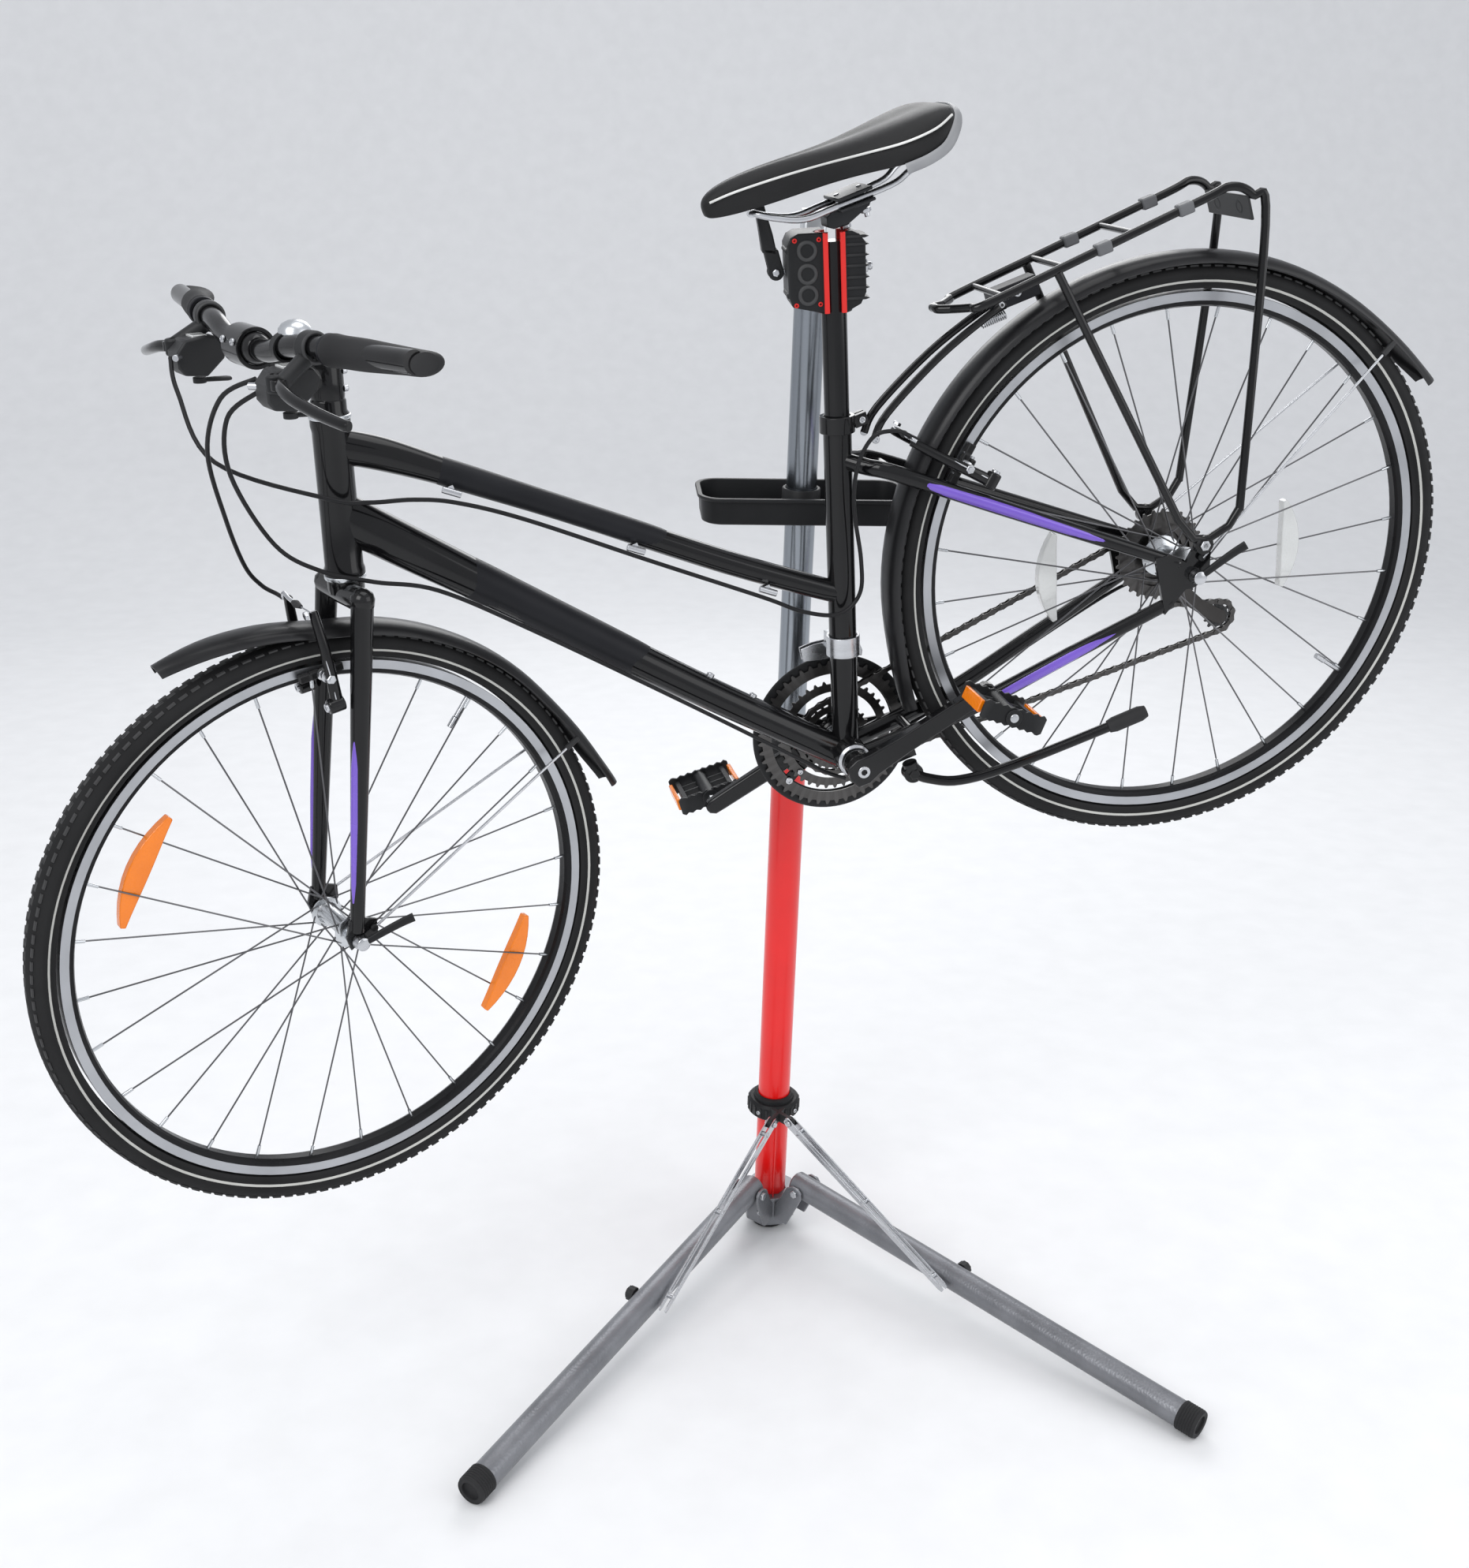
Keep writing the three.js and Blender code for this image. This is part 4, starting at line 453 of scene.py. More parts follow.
def oblong(length, width, radius, z, n=8):
    loop = []
    for k, (sx, sy) in enumerate([(1, 1), (-1, 1), (-1, -1), (1, -1)]):
        for i in range(n + 1):
            a = pi / 2 * (k + i / n)
            loop.append(Vector((sx * (length / 2 - radius) + radius * cos(a),
                                sy * (width / 2 - radius) + radius * sin(a), z)))
    return loop


def stacked(loops, bottom=True, top=True):
    n = len(loops[0])
    corners = [c for loop in loops for c in loop]
    faces = [(i * n + k, i * n + (k + 1) % n, (i + 1) * n + (k + 1) % n, (i + 1) * n + k)
             for i in range(len(loops) - 1) for k in range(n)]
    if bottom:
        faces.append(tuple(reversed(range(n))))
    if top:
        faces.append(tuple(range(len(corners) - n, len(corners))))
    return corners, faces


tray_walls = stacked([oblong(244, 94, 22, 0), oblong(250, 100, 25, 1.5), oblong(254, 104, 26, 29.5),
                      oblong(260, 110, 29, 29.5),
                      oblong(262, 112, 30, 31), oblong(262, 112, 30, 33.2), oblong(260, 110, 29, 34),
                      oblong(250, 100, 24, 34),
                      oblong(248.5, 98.5, 23.5, 32), oblong(246, 96, 22.5, 5), oblong(240, 90, 20, 2.6)])
tray_parts = [tray_walls, turned([(19.6, 0), (24, 0), (24, 35), (23, 36.5), (20.4, 36.5), (19.6, 35.5)],
                                 axis=(0, 0, 1), sides=48,
                                 closed=True), brick(-1.4, 1.4, 20, 46, 3, 33), brick(-1.4, 1.4, -46,
                                         -20, 3, 22)]
for x in (-100, -76, -52, 52, 76, 100):
    tray_parts.append(brick(x - 1, x + 1, -40, 40, 2.4, 4.2))
piece("tray_moulding", "upper_mast", tray, tray_parts, black_plastic, ["tool_tray"],
      edge=0.6)

# ---------------------------------------------------------------- stand: head block and clamp
# A bright cast head caps the mast and carries the turning arm. The arm ends in the left jaw,
# ribbed like its fellow, and a cam lever on a steel screw pulls the right jaw in. Red rubber
# liners hold the seatpost.
piece("head_block", "upper_mast", head,
      [stacked([oblong(27, 39, 5, -26), oblong(28, 40, 5, -24), oblong(28, 40, 5, 43), oblong(25, 37, 4,
              46)]),
       turned([(19.4, -58), (22.5, -58), (22.5, -24), (19.4, -24)], axis=(0, 0, 1), sides=48,
              closed=True),
       turned([(13.6, 0), (18.5, 0), (18.5, 3), (17, 4.2), (13.6, 4.2)], (0, -20, 0), (0, -1, 0),
              closed=True)],
      finish("cast_silver", (0.60, 0.62, 0.64), 0.34, 0.9, uneven=0.1, grain=1100, bump=0.12, worn=0.2),
      ["head_socket"], edge=0.8)
piece("head_screws", "upper_mast", head, [socket_bolt((x, -20, z), (0, -1, 0), 3, 2.2) for x in (-9,
        9) for z in (-18, 38)]
      + [socket_bolt((0, 0, 46), (0, 0, 1), 5, 3)], steel)
jaw_way = Vector(joint["jaw_slide"]["axis"])
arm_way = Vector(joint["clamp_turn"]["axis"])
ARM = 195
jaws = axes(Vector(joint["clamp_turn"]["pos_m"]) - arm_way * ARM * MM, arm_way, jaw_way.cross(arm_way))


# The inner side of a jaw is a half round groove for its liner.
def jaw(outline, sign, y0, y1):
    groove = [(sign * 19.8 * cos(radians(a)), 19.8 * sin(radians(a))) for a in range(-66, 67, 12)]
    front, back = y0, y1
    corners, faces = [], []
    levels = sorted({z for _, z in outline})
    for z in levels:
        reach = max(abs(x) for x, level in outline if level == z)
        section = [(sign * 7.4, front), (sign * reach, front), (sign * reach, back), (sign * 7.4, back)]
        section += [(gx, gy) for gx, gy in (groove if sign > 0 else groove)][::-1]
        corners.append([Vector((x, y, z)) for x, y in section])
    return stacked(corners)


left_outline = [(-12, -42), (-46, -34), (-50, -22), (-50, 30), (-46, 38), (-38, 42)]
right_outline = [(12, -42), (28, -34), (34, -22), (34, 30), (28, 38), (20, 42)]
ribs_left = [pipe([(-50.2 + abs(z - 4) * 0.06, -11, z), (-50.2 + abs(z - 4) * 0.06, 30, z)], (3.2, 3.2),
                  14)
             for z in (-22, 24)]
rings_left = [turned([(r - 3, -13.6), (r - 1.4, -15.4), (r + 1.4, -15.4), (r + 3, -13.6)], (-29, 0, z),
                     sides=32)
              for z, r in ((-22, 9), (0, 9), (24, 9))]
piece("jaw_left", "clamp_arm", jaws, [jaw(left_outline, -1, -14, 43)] + ribs_left + rings_left
      + [brick(-30, 16, 33.6, 45, -16, 16)], black_plastic, edge=1.6)
piece("clamp_arm_bar", "clamp_arm", jaws,
      [turned([(0, 40), (13, 40), (13, 173), (13, 229), (0, 229)]), turned([(0, 40), (17, 40), (17, 52),
              (14, 56), (13, 56)]),
       turned([(0, 216.5), (19, 216.5), (20, 218), (20, 233), (18, 235), (0, 235)])],
      finish("arm_black", (0.015, 0.015, 0.017), 0.3, 0.4, coat=0.3, worn=0.3),
      ["jaw_fixed"])
fins_right = [plate([(10, z - 1.6), (33, z - 1.6), (38, z), (33, z + 1.6), (10, z + 1.6)], -15.5, 31.5)
              for z in (-28, -17, -6, 6, 17, 28, 36)]
piece("jaw_right", "clamp_jaw", jaws, [jaw(right_outline, 1, -14, 32)] + fins_right, black_plastic,
      ["jaw_moving"], edge=0.9)
pad_red = finish("red_liner", (0.66, 0.012, 0.008), 0.55, grain=1500, bump=0.15, uneven=0.1)
for name, sign, body, node in [("liner_left", -1, "clamp_arm", "pad_fixed"), ("liner_right", 1,
        "clamp_jaw", "pad_moving")]:
    half = [(19.1, a) for a in range(-70, 71, 7)] + [(14.6, a) for a in range(63, -64, -7)]
    section = [(sign * r * cos(radians(a)), r * sin(radians(a))) for r, a in half]
    liner = stacked([[Vector((x * s, y * s, z)) for x, y in section]
                     for z, s in ((-42, 0.99), (-41, 1.0), (41, 1.0), (42, 0.99))])
    lip = [brick(min(sign * 7, sign * 12), max(sign * 7, sign * 12), -18, -14.2, -42, 42)]
    piece(name, body, jaws, [liner] + lip, pad_red, [node], edge=0.5)
dots = [socket_bolt((x, -14, z), (0, -1, 0), 2.6, 1.2) for x in (-42, -16) for z in (-32, 35)]
piece("jaw_dots", "clamp_arm", jaws, dots, pad_red, edge=0.2)
piece("clamp_screw_rod", "clamp_jaw", jaws,
      [pipe([(-66, 25, 0), (46, 25, 0)], 4, 20), hexagon((34.4, 25, 0), (1, 0, 0), 8, 6.5),
       turned([(0, 0), (4.4, 0), (4.6, 3), (0, 4)], (42, 25, 0), (1, 0, 0)),
       pipe([(-60, 20.6, 0), (-60, 29.4, 0)], 4.8, 16)], steel, ["clamp_screw"])
lever = axes(joint["clamp_lever_turn"]["pos_m"], arm_way, jaws.col[2].xyz)
cheek = [(8.6 * cos(radians(a)), 8.6 * sin(radians(a))) for a in range(-200, 21, 20)] + [(3, 24), (-13,
        26)]
handle = [(-14, 21), (2, 18), (-2, 40), (-8, 62), (-11, 74), (-15, 77), (-20, 75), (-20, 68), (-17, 48)]
piece("cam_lever_handle", "cam_lever", lever, [plate(cheek, -11, -4.8), plate(cheek, 4.8, 11),
                                               plate(handle, -11, 11)],
      black_plastic, ["clamp_lever"], edge=1.4)
piece("cam_lever_pin", "cam_lever", lever, [hexagon((0, -11, 0), (0, -1, 0), 4.5, 3), hexagon((0, 11, 0),
        (0, 1, 0), 4.5, 3)],
      steel)

# ---------------------------------------------------------------- bicycle: frame
# A welded aluminium frame with a dropped top tube, painted gloss black with dark satin panels
# and violet flashes, with threaded bottle bosses, cable stops and plate dropouts.
side_way = Vector(joint["crank_spin"]["axis"])
bracket = Vector(joint["crank_spin"]["pos_m"])
REAR = Vector((447.4, 0, 64))
tail = (Vector(joint["rear_wheel_spin"]["pos_m"]) - bracket).normalized()
x_way = Matrix.Rotation(math.atan2(REAR.z, REAR.x), 3, side_way) @ tail
bike = axes(bracket, side_way, x_way.cross(side_way))
black_paint = finish("gloss_black", (0.004, 0.004, 0.0045), 0.16, 0.0, uneven=0.1, coat=0.3, grain=180,
                     bump=0.03, worn=0.12)
satin_panel = finish("satin_graphite", (0.012, 0.0125, 0.015), 0.42, 0.2, uneven=0.12, grain=900,
                     bump=0.05)
violet = finish("violet_flash", (0.17, 0.085, 0.55), 0.25, 0.1, uneven=0.08, coat=0.7, grain=500,
                bump=0.03)
STEER_FOOT = Vector((-583.3, 0, 47.7))


def on_steer(s):
    return STEER_FOOT + Vector((cos(radians(71)), 0, sin(radians(71)))) * s


def on_seat(s):
    return Vector((cos(radians(73.5)), 0, sin(radians(73.5)))) * s


# An oval tube that swells and tapers: (place, half width, half height) along its length.
def flowing(stations, sides=32, steps=6, grow=0.0):
    route = smooth([Vector((*place, a + grow, b + grow)) for place, a, b in stations], steps)
    return pipe([r[:3] for r in route], [(r[3], r[4]) for r in route], sides)


top_tube = [(on_steer(545), 15, 18.5), ((-362, 0, 535), 16, 18), ((-300, 0, 485), 15, 14.5),
            ((-217, 0, 415), 14, 13.5),
            ((-60, 0, 279), 14, 13.5), (on_seat(196), 13, 13)]
down_tube = [(on_steer(472), 17, 25), ((-378, 0, 432), 21, 24), ((-290, 0, 328), 22, 21),
             ((-147, 0, 157), 21, 19),
             ((-4, 0, -4), 20, 18)]
tubes = [flowing(top_tube), flowing(down_tube), pipe([on_seat(0), on_seat(200), on_seat(399)], 16, 40),
         turned([(15.2, 407), (22, 407), (22, 413), (20.6, 417), (20.2, 470), (20.0, 560), (21.2, 566),
                 (21.2, 573),
                 (15.2, 573)], STEER_FOOT, on_steer(1) - STEER_FOOT, closed=True),
         turned([(13, -34), (20, -34), (21, -31), (21, 31), (20, 34), (13, 34)], closed=True)]
dropout = [(400, 32), (432, 52), (440, 50), (456, 53), (466, 64), (474, 92), (462, 106), (440, 84), (424,
        100), (405, 104),
           (402, 60)]
flashes, panels = [], []
for s in (-1, 1):
    tubes += [flowing([((106, s * 7, 336), 8.5, 9.5), ((124, s * 24, 325), 8.5, 9.5),
                       ((152, s * 38, 308), 8.5, 9.5),
                       ((260, s * 47.5, 221), 8, 9), ((414, s * 62, 99), 6.5, 7.5), ((434, s * 66, 84),
                               6, 6.5)], 20),
              flowing([((10, s * 22, -2), 9.5, 11), ((140, s * (30 if s > 0 else 33), 2), 8.5, 10.5),
                       ((280, s * 47, 22), 8, 9.5), ((414, s * 64, 42), 6.5, 8)], 20),
              plate(dropout, s * 67 - 2.6, s * 67 + 2.6)]
    flashes += [flowing([((176, s * 41.6, 289), 7.5, 6), ((200, s * 43.9, 269), 8.2, 7.6),
                         ((330, s * 55.4, 165), 6.6, 6.4),
                         ((360, s * 58, 142), 5.4, 3)], 20),
                flowing([((150, s * (31.9 if s > 0 else 34.9), 3.5), 8, 4),
                         ((190, s * (36 if s > 0 else 38.4), 8), 8.2, 8),
                         ((300, s * 50.6, 25), 7.4, 7.5), ((340, s * 55.4, 31), 6.4, 3)], 20)]
tubes += [plate([(446, 56), (468, 58), (466, 28), (463, 20), (455, 18), (450, 26)], 64.5, 69.5),
          pipe([(150, -38, 308), (150, 38, 308)], 6, 20), pipe([(78, -27, 0), (78, 26, 0)], 6, 20),
          brick(44, 74, -30, -13, -29, -6)]
panels += [flowing([((-352, 0, 401), 18, 20), ((-330, 0, 375.6), 21.7, 22.3), ((-290, 0, 328.6), 22.2,
        21.3),
                    ((-200, 0, 220), 21.6, 20.2), ((-180, 0, 196), 18, 17)], 32),
           flowing([((-330, 0, 509.5), 13, 12), ((-312, 0, 495), 15.3, 15.2), ((-217, 0, 415.2), 14.3,
                   13.8),
                    ((-130, 0, 340), 14.3, 13.8), ((-112, 0, 324), 12, 11)], 32)]
piece("frame_tubes", "bicycle", bike, tubes, black_paint, ["frame"], edge=0.8)
piece("frame_panels", "bicycle", bike, panels, satin_panel, edge=0)
piece("frame_flashes", "bicycle", bike, flashes, violet, edge=0)
down_normal = (0.753, 0, 0.659)
small = [socket_bolt((-123, 0, 156), down_normal, 4.6, 5.4), socket_bolt((-85, 0, 111), down_normal, 4.6,
        5.4)]
for x, y, z in ((-311, -15.5, 480), (-150, -14.5, 343), (-27, -14.5, 238)):
    small += [pipe([(x - 8, y - 3.5, z + 1), (x + 8, y - 3.5, z - 12)], 3.9, 16), brick(x - 4, x + 4,
            y - 3, y + 4, z - 6, z + 1)]
piece("frame_fittings", "bicycle", bike, small, steel, edge=0.3)
alloy = finish("bright_alloy", (0.60, 0.62, 0.64), 0.25, 1.0, uneven=0.08, grain=900, bump=0.06)
headset = [turned([(15.4, 573.4), (21.6, 573.4), (22.2, 575), (22.2, 577.6), (19, 579), (15.4, 579)],
                  STEER_FOOT,
                  on_steer(1) - STEER_FOOT, closed=True),
           turned([(15.4, 401.4), (21.6, 401.4), (22.4, 403), (22.4, 406.6), (15.4, 406.6)], STEER_FOOT,
                  on_steer(1) - STEER_FOOT, closed=True)]
piece("headset_cups", "bicycle", bike, headset, alloy)
bb_rings = [turned([(13, s * 34.2), (19.4, s * 34.2), (20, s * 36), (17, s * 38.6), (13, s * 38.6)],
                   closed=True) for s in (-1, 1)]
piece("bracket_rings", "bicycle", bike, bb_rings, steel)
seat_way = on_seat(1)
clamp_lug = [turned([(16.2, 384), (20, 384), (20, 403), (14.8, 403), (14.8, 400.5), (16.2, 400.5)], (0,
        0, 0), seat_way,
                    closed=True), brick(129, 145, -8.5, -1.2, 366, 380), brick(129, 145, 1.2, 8.5, 366,
                            380)]
piece("seat_clamp_ring", "bicycle", bike, clamp_lug, black_paint, ["seat_collar"], edge=1)
piece("seat_clamp_bolt", "bicycle", bike, [pipe([(138, -9, 373), (138, 9, 373)], 2.6, 12),
                                          socket_bolt((138, -8.6, 373), (0, -1, 0), 4, 3)], steel)

# ---------------------------------------------------------------- bicycle: seatpost and saddle
# A black alloy seatpost with a grey faced two piece head clamps the saddle's bright rails. The
# saddle is a moulded shell, padded, covered in black synthetic leather with white piping and
# a pale bumper strip round its tail.
piece("seatpost_tube", "clamp_arm", bike, [pipe([on_seat(300), on_seat(450), on_seat(590)], 14, 40)],
      black_paint,
      ["seatpost"])
cradle = [plate([(164, 582), (170, 578), (186, 577), (214, 587), (220, 594), (216, 597), (176, 597),
                 (166, 592)], -13, 13),
          brick(179, 219, -27.5, 27.5, 592.6, 596), brick(179, 219, -27.5, 27.5, 604, 608)]
piece("seatpost_head", "clamp_arm", bike, cradle, finish("dark_cast", (0.03, 0.031, 0.033), 0.36, 0.5,
        grain=1200, bump=0.15),
      edge=1.2)
piece("seatpost_bolts", "clamp_arm", bike, [pipe([(x, 0, 575), (x, 0, 609)], 3, 12) for x in (186, 212)]
      + [hexagon((186, 0, 576), (0, 0, -1)), hexagon((212, 0, 584), (0, 0, -1))], steel)
rails = []
for s in (-1, 1):
    rails.append(pipe(smooth([(92, s * 3, 622.4), (97, s * 10, 621), (112, s * 15, 612), (140, s * 21,
            600.6), (175, s * 21, 600),
                              (240, s * 21, 600), (262, s * 25, 607), (276, s * 30, 611)], 5), 3.5, 14))
piece("saddle_rail_rods", "clamp_arm", bike, rails, steel, ["saddle_rails"], edge=0)
stations = [(44, 6, 634, 642, 650, 3), (52, 14, 631, 640, 659, 8), (80, 20, 627, 636, 665, 10), (130, 25,
        624, 632, 664.5, 13),
            (175, 36, 624, 630, 661, 18), (215, 56, 622, 626, 660, 32), (252, 74, 618, 621, 661, 48),
            (285, 79.5, 619, 624, 662.5, 60), (308, 71, 631, 637, 662, 54), (323, 47, 644, 647, 655, 34)]


def saddle_loop(x, half, under, rim, top, crown):
    dip = 2.2 if 90 < x < 300 else 0
    right_side = [(half * 0.72, under + 2), (half * 0.95, under + 2.5), (half, rim), (half * 0.985,
            rim + (top - rim) * 0.42),
                  (half * 0.88, rim + (top - rim) * 0.78), (crown, top - 1.2), (crown * 0.5, top)]
    loop = [(-y, z) for y, z in right_side] + [(0, top - dip)] + list(reversed(right_side)) + [(0,
            under + 4)]
    return [Vector((x, y, z)) for y, z in loop]


leather = finish("black_cover", (0.014, 0.014, 0.0145), 0.46, uneven=0.12, cells=True, grain=1500,
                 bump=0.28, worn=0.15)
saddle_pad = piece("saddle_pad", "clamp_arm", bike, [stacked([saddle_loop(*st) for st in stations])],
                   leather,
                   ["saddle"], edge=0, crease=80)
rounding = saddle_pad.modifiers.new("padding", "SUBSURF")
rounding.levels = 2
rounding.render_levels = 3
white_cord = finish("white_piping", (0.72, 0.72, 0.70), 0.5, grain=1500, bump=0.1)
for s, word in ((-1, "left"), (1, "right")):
    line = [(x, s * (half * 0.965 + 0.4), rim + (top - rim) * 0.55) for x, half, under, rim, top,
            crown in stations[1:9]]
    piece(f"saddle_piping_{word}", "clamp_arm", bike, [pipe(smooth(line, 5), 1.25, 10)], white_cord,
          edge=0)
tail_line = [(246, -72.5, 618), (270, -78, 619.5), (292, -77.5, 625), (309, -68, 637), (320, -50, 646),
             (326, -24, 650),
             (327, 0, 651), (326, 24, 650), (320, 50, 646), (309, 68, 637), (292, 77.5, 625), (270, 78,
                     619.5), (246, 72.5, 618)]
bumper = finish("pale_bumper", (0.25, 0.255, 0.265), 0.45, grain=1300, bump=0.12, worn=0.2)
piece("saddle_bumper", "clamp_arm", bike, [pipe(smooth(tail_line, 4), (2.6, 5.6), 14)], bumper,
      edge=0)

# ---------------------------------------------------------------- bicycle: wheels
# Each wheel is a black double wall alloy rim with a bright brake track, laced to an alloy hub
# with 28 crossed steel spokes. A wired tyre with small tread blocks carries a pale reflective ring.
tyre_rubber = finish("tyre_black", (0.013, 0.013, 0.0135), 0.78, uneven=0.2, grain=700, bump=0.35,
                     worn=0.3)
spoke_steel = finish("spoke_steel", (0.10, 0.10, 0.105), 0.36, 1.0, grain=500, bump=0.05, worn=0.2)
rim_black = finish("rim_black", (0.010, 0.010, 0.011), 0.28, 0.5, grain=700, bump=0.05, worn=0.2)
brake_track = finish("brake_track", (0.40, 0.41, 0.43), 0.32, 1.0, uneven=0.12, grain=60, stretch=(1, 1,
        1), bump=0.1, worn=0.1)
pale_ring = finish("reflective_ring", (0.50, 0.50, 0.47), 0.35, uneven=0.08, grain=1600, bump=0.1)
amber = finish("amber_lens", (0.95, 0.22, 0.002), 0.2, uneven=0.12, coat=0.3, cells=True, grain=320,
               bump=0.5)
clear_lens = finish("clear_lens", (0.62, 0.63, 0.62), 0.14, uneven=0.1, coat=1.0, cells=True, grain=320,
                    bump=0.5)
front = axes(joint["steering"]["pos_m"], joint["front_wheel_spin"]["axis"], joint["steering"]["axis"])
tyre_section = [(319, -11.5), (325, -15.5), (331, -18.2), (336, -18.5), (341, -16.2), (344, -13), (346,
        -9), (347.2, -5),
                (347.6, 0), (347.2, 5), (346, 9), (344, 13), (341, 16.2), (336, 18.5), (331, 18.2), (325,
                        15.5), (319, 11.5),
                (318.5, 0)]
rim_section = [(298.5, -5.5), (300.5, -9.5), (305, -11.2), (316, -12.2), (316, 12.2), (305, 11.2),
               (300.5, 9.5), (298.5, 5.5)]
SPOKES = 28
for end, body, spin, flanges, flange_r, hub_r, hub_half in [
        ("front", "front_wheel", "front_wheel_spin", (30, 30), 18, 10.5, 49), ("rear", "rear_wheel",
                "rear_wheel_spin", (32, 18), 25, 14, 63)]:
    base = front if end == "front" else bike
    wheel = Matrix.Translation(Vector(joint[spin]["pos_m"])) @ base.to_3x3().to_4x4()
    blocks = []
    for y, tilt in ((-12.2, -42), (0, 0), (12.2, 42)):
        block = brick(-4.9, 4.9, y - 2.8, y + 2.8, 345 - abs(y) * 0.16, 347.5 - abs(y) * 0.2)
        blocks += around(144, block, start=0 if y else 1.25)
    piece(f"tyre_casing_{end}", body, wheel, [turned(tyre_section, sides=128, closed=True)] + blocks,
          tyre_rubber,
          [f"tyre_{end}"], edge=0)
    piece(f"tyre_ring_{end}", body, wheel,
          [turned([(326.2, s * 16.0), (328.8, s * 17.6), (329.4, s * 17.0), (326.8, s * 15.4)],
                  sides=128, closed=True)
           for s in (-1, 1)], pale_ring, edge=0)
    piece(f"rim_body_{end}", body, wheel, [turned(rim_section, sides=128, closed=True)], rim_black,
          [f"wheel_{end}"], edge=0, crease=25)
    piece(f"rim_track_{end}", body, wheel,
          [turned([(305.5, s * 11.5), (315.6, s * 12.5), (315.6, s * 12.0), (305.5, s * 11.0)],
                  sides=128, closed=True)
           for s in (-1, 1)], brake_track, edge=0)
    low, high = -flanges[0], flanges[1]
    hub = [(5.4, -hub_half), (8, -hub_half), (9, low - 5), (flange_r - 4, low - 5), (flange_r,
            low - 3.6), (flange_r, low - 1.2),
           (flange_r - 5, low), (hub_r, low + 4), (hub_r, high - 4), (flange_r - 5, high), (flange_r,
                   high + 1.2),
           (flange_r, high + 3.6), (flange_r - 4, high + 5), (9, high + 5), (8, hub_half), (5.4,
                   hub_half)]
    piece(f"hub_shell_{end}", body, wheel, [turned(hub, closed=True)], alloy, edge=0)
    wires, nipples = [], []
    for i in range(SPOKES):
        side = -1 if i % 2 == 0 else 1
        out = 2 * pi * i / SPOKES
        lean = radians(62) * (1 if (i // 2) % 2 == 0 else -1)
        y = side * ((flanges[0] if side < 0 else flanges[1]) + 2.5 + (1.3 if lean > 0 else -1.3))
        a = Vector(((flange_r - 3) * cos(out + lean), y, (flange_r - 3) * sin(out + lean)))
        b = Vector((299 * cos(out), side * 2, 299 * sin(out)))
        wires.append(pipe([a, b], 1.0, 8))
        nipples.append(pipe([b + (a - b) * 0.045, b], 2.0, 10))
    piece(f"spokes_{end}", body, wheel, wires, spoke_steel, edge=0)
    piece(f"nipples_{end}", body, wheel, nipples, alloy, edge=0)
    valve_at = Vector((173.9, 0, 221.5)) if end == "front" else Vector((171.3, 0, -219.2))
    inward = valve_at.normalized()
    piece(f"valve_{end}", body, wheel, [pipe([inward * 299, inward * 272], 3.2, 14),
                                        pipe([inward * 272, inward * 258], 4, 14)],
          steel)
    lens = amber if end == "front" else clear_lens
    places, mid = ((-59, 120), 250) if end == "front" else ((-75, 105), 158)
    span = 15 if end == "front" else 20
    lens_half = [12 * cos(radians(75 * (k / 5 - 1))) for k in range(11)]
    strips = []
    for degrees in places:
        rim = [(mid + h, span * (k / 5 - 1)) for k, h in enumerate(lens_half)]
        rim += [(mid - h, span * (k / 5 - 1)) for k, h in reversed(list(enumerate(lens_half)))]
        strips += placed(turn("Y", degrees), plate([(r * sin(radians(a)), r * cos(radians(a))) for r,
                                                    a in rim], -6, 6))
    piece(f"spoke_reflectors_{end}", body, wheel, strips, lens, edge=1.4)

# ---------------------------------------------------------------- bicycle: quick release skewers
# A steel rod through each hollow axle has a cap nut on the right and a curved black cam lever
# on the left.
for end, body, spin, half in [("front", "front_skewer", "skewer_front_turn", 56.5), ("rear",
        "rear_skewer", "skewer_rear_turn", 69.5)]:
    base = front if end == "front" else bike
    place = Matrix.Translation(Vector(joint[spin]["pos_m"])) @ base.to_3x3().to_4x4()
    rod = [pipe([(0, -half - 6, 0), (0, half + 12, 0)], 2.6, 14)]
    rod += [turned([(0, 0.4), (9, 0.4), (9, 5), (7, 8), (6, 12), (0, 12)], (0, half, 0)),
            turned([(0, 0.4), (9, 0.4), (9.4, 3), (8, 7), (8, 13), (5, 14.4), (0, 14.4)], (0, -half, 0),
                   (0, -1, 0))]
    paddle = smooth([(0, -half - 10, 0), (20, -half - 14, 8), (42, -half - 20, 17), (58, -half - 24,
            22)], 5)
    blade = pipe(paddle, [(3.2, 4.2 + 1.6 * i / 15) for i in range(16)], 16)
    piece(f"skewer_rod_{end}", body, place, rod, steel, [f"skewer_{end}"])
    piece(f"skewer_lever_{end}", body, place, [blade], black_plastic)

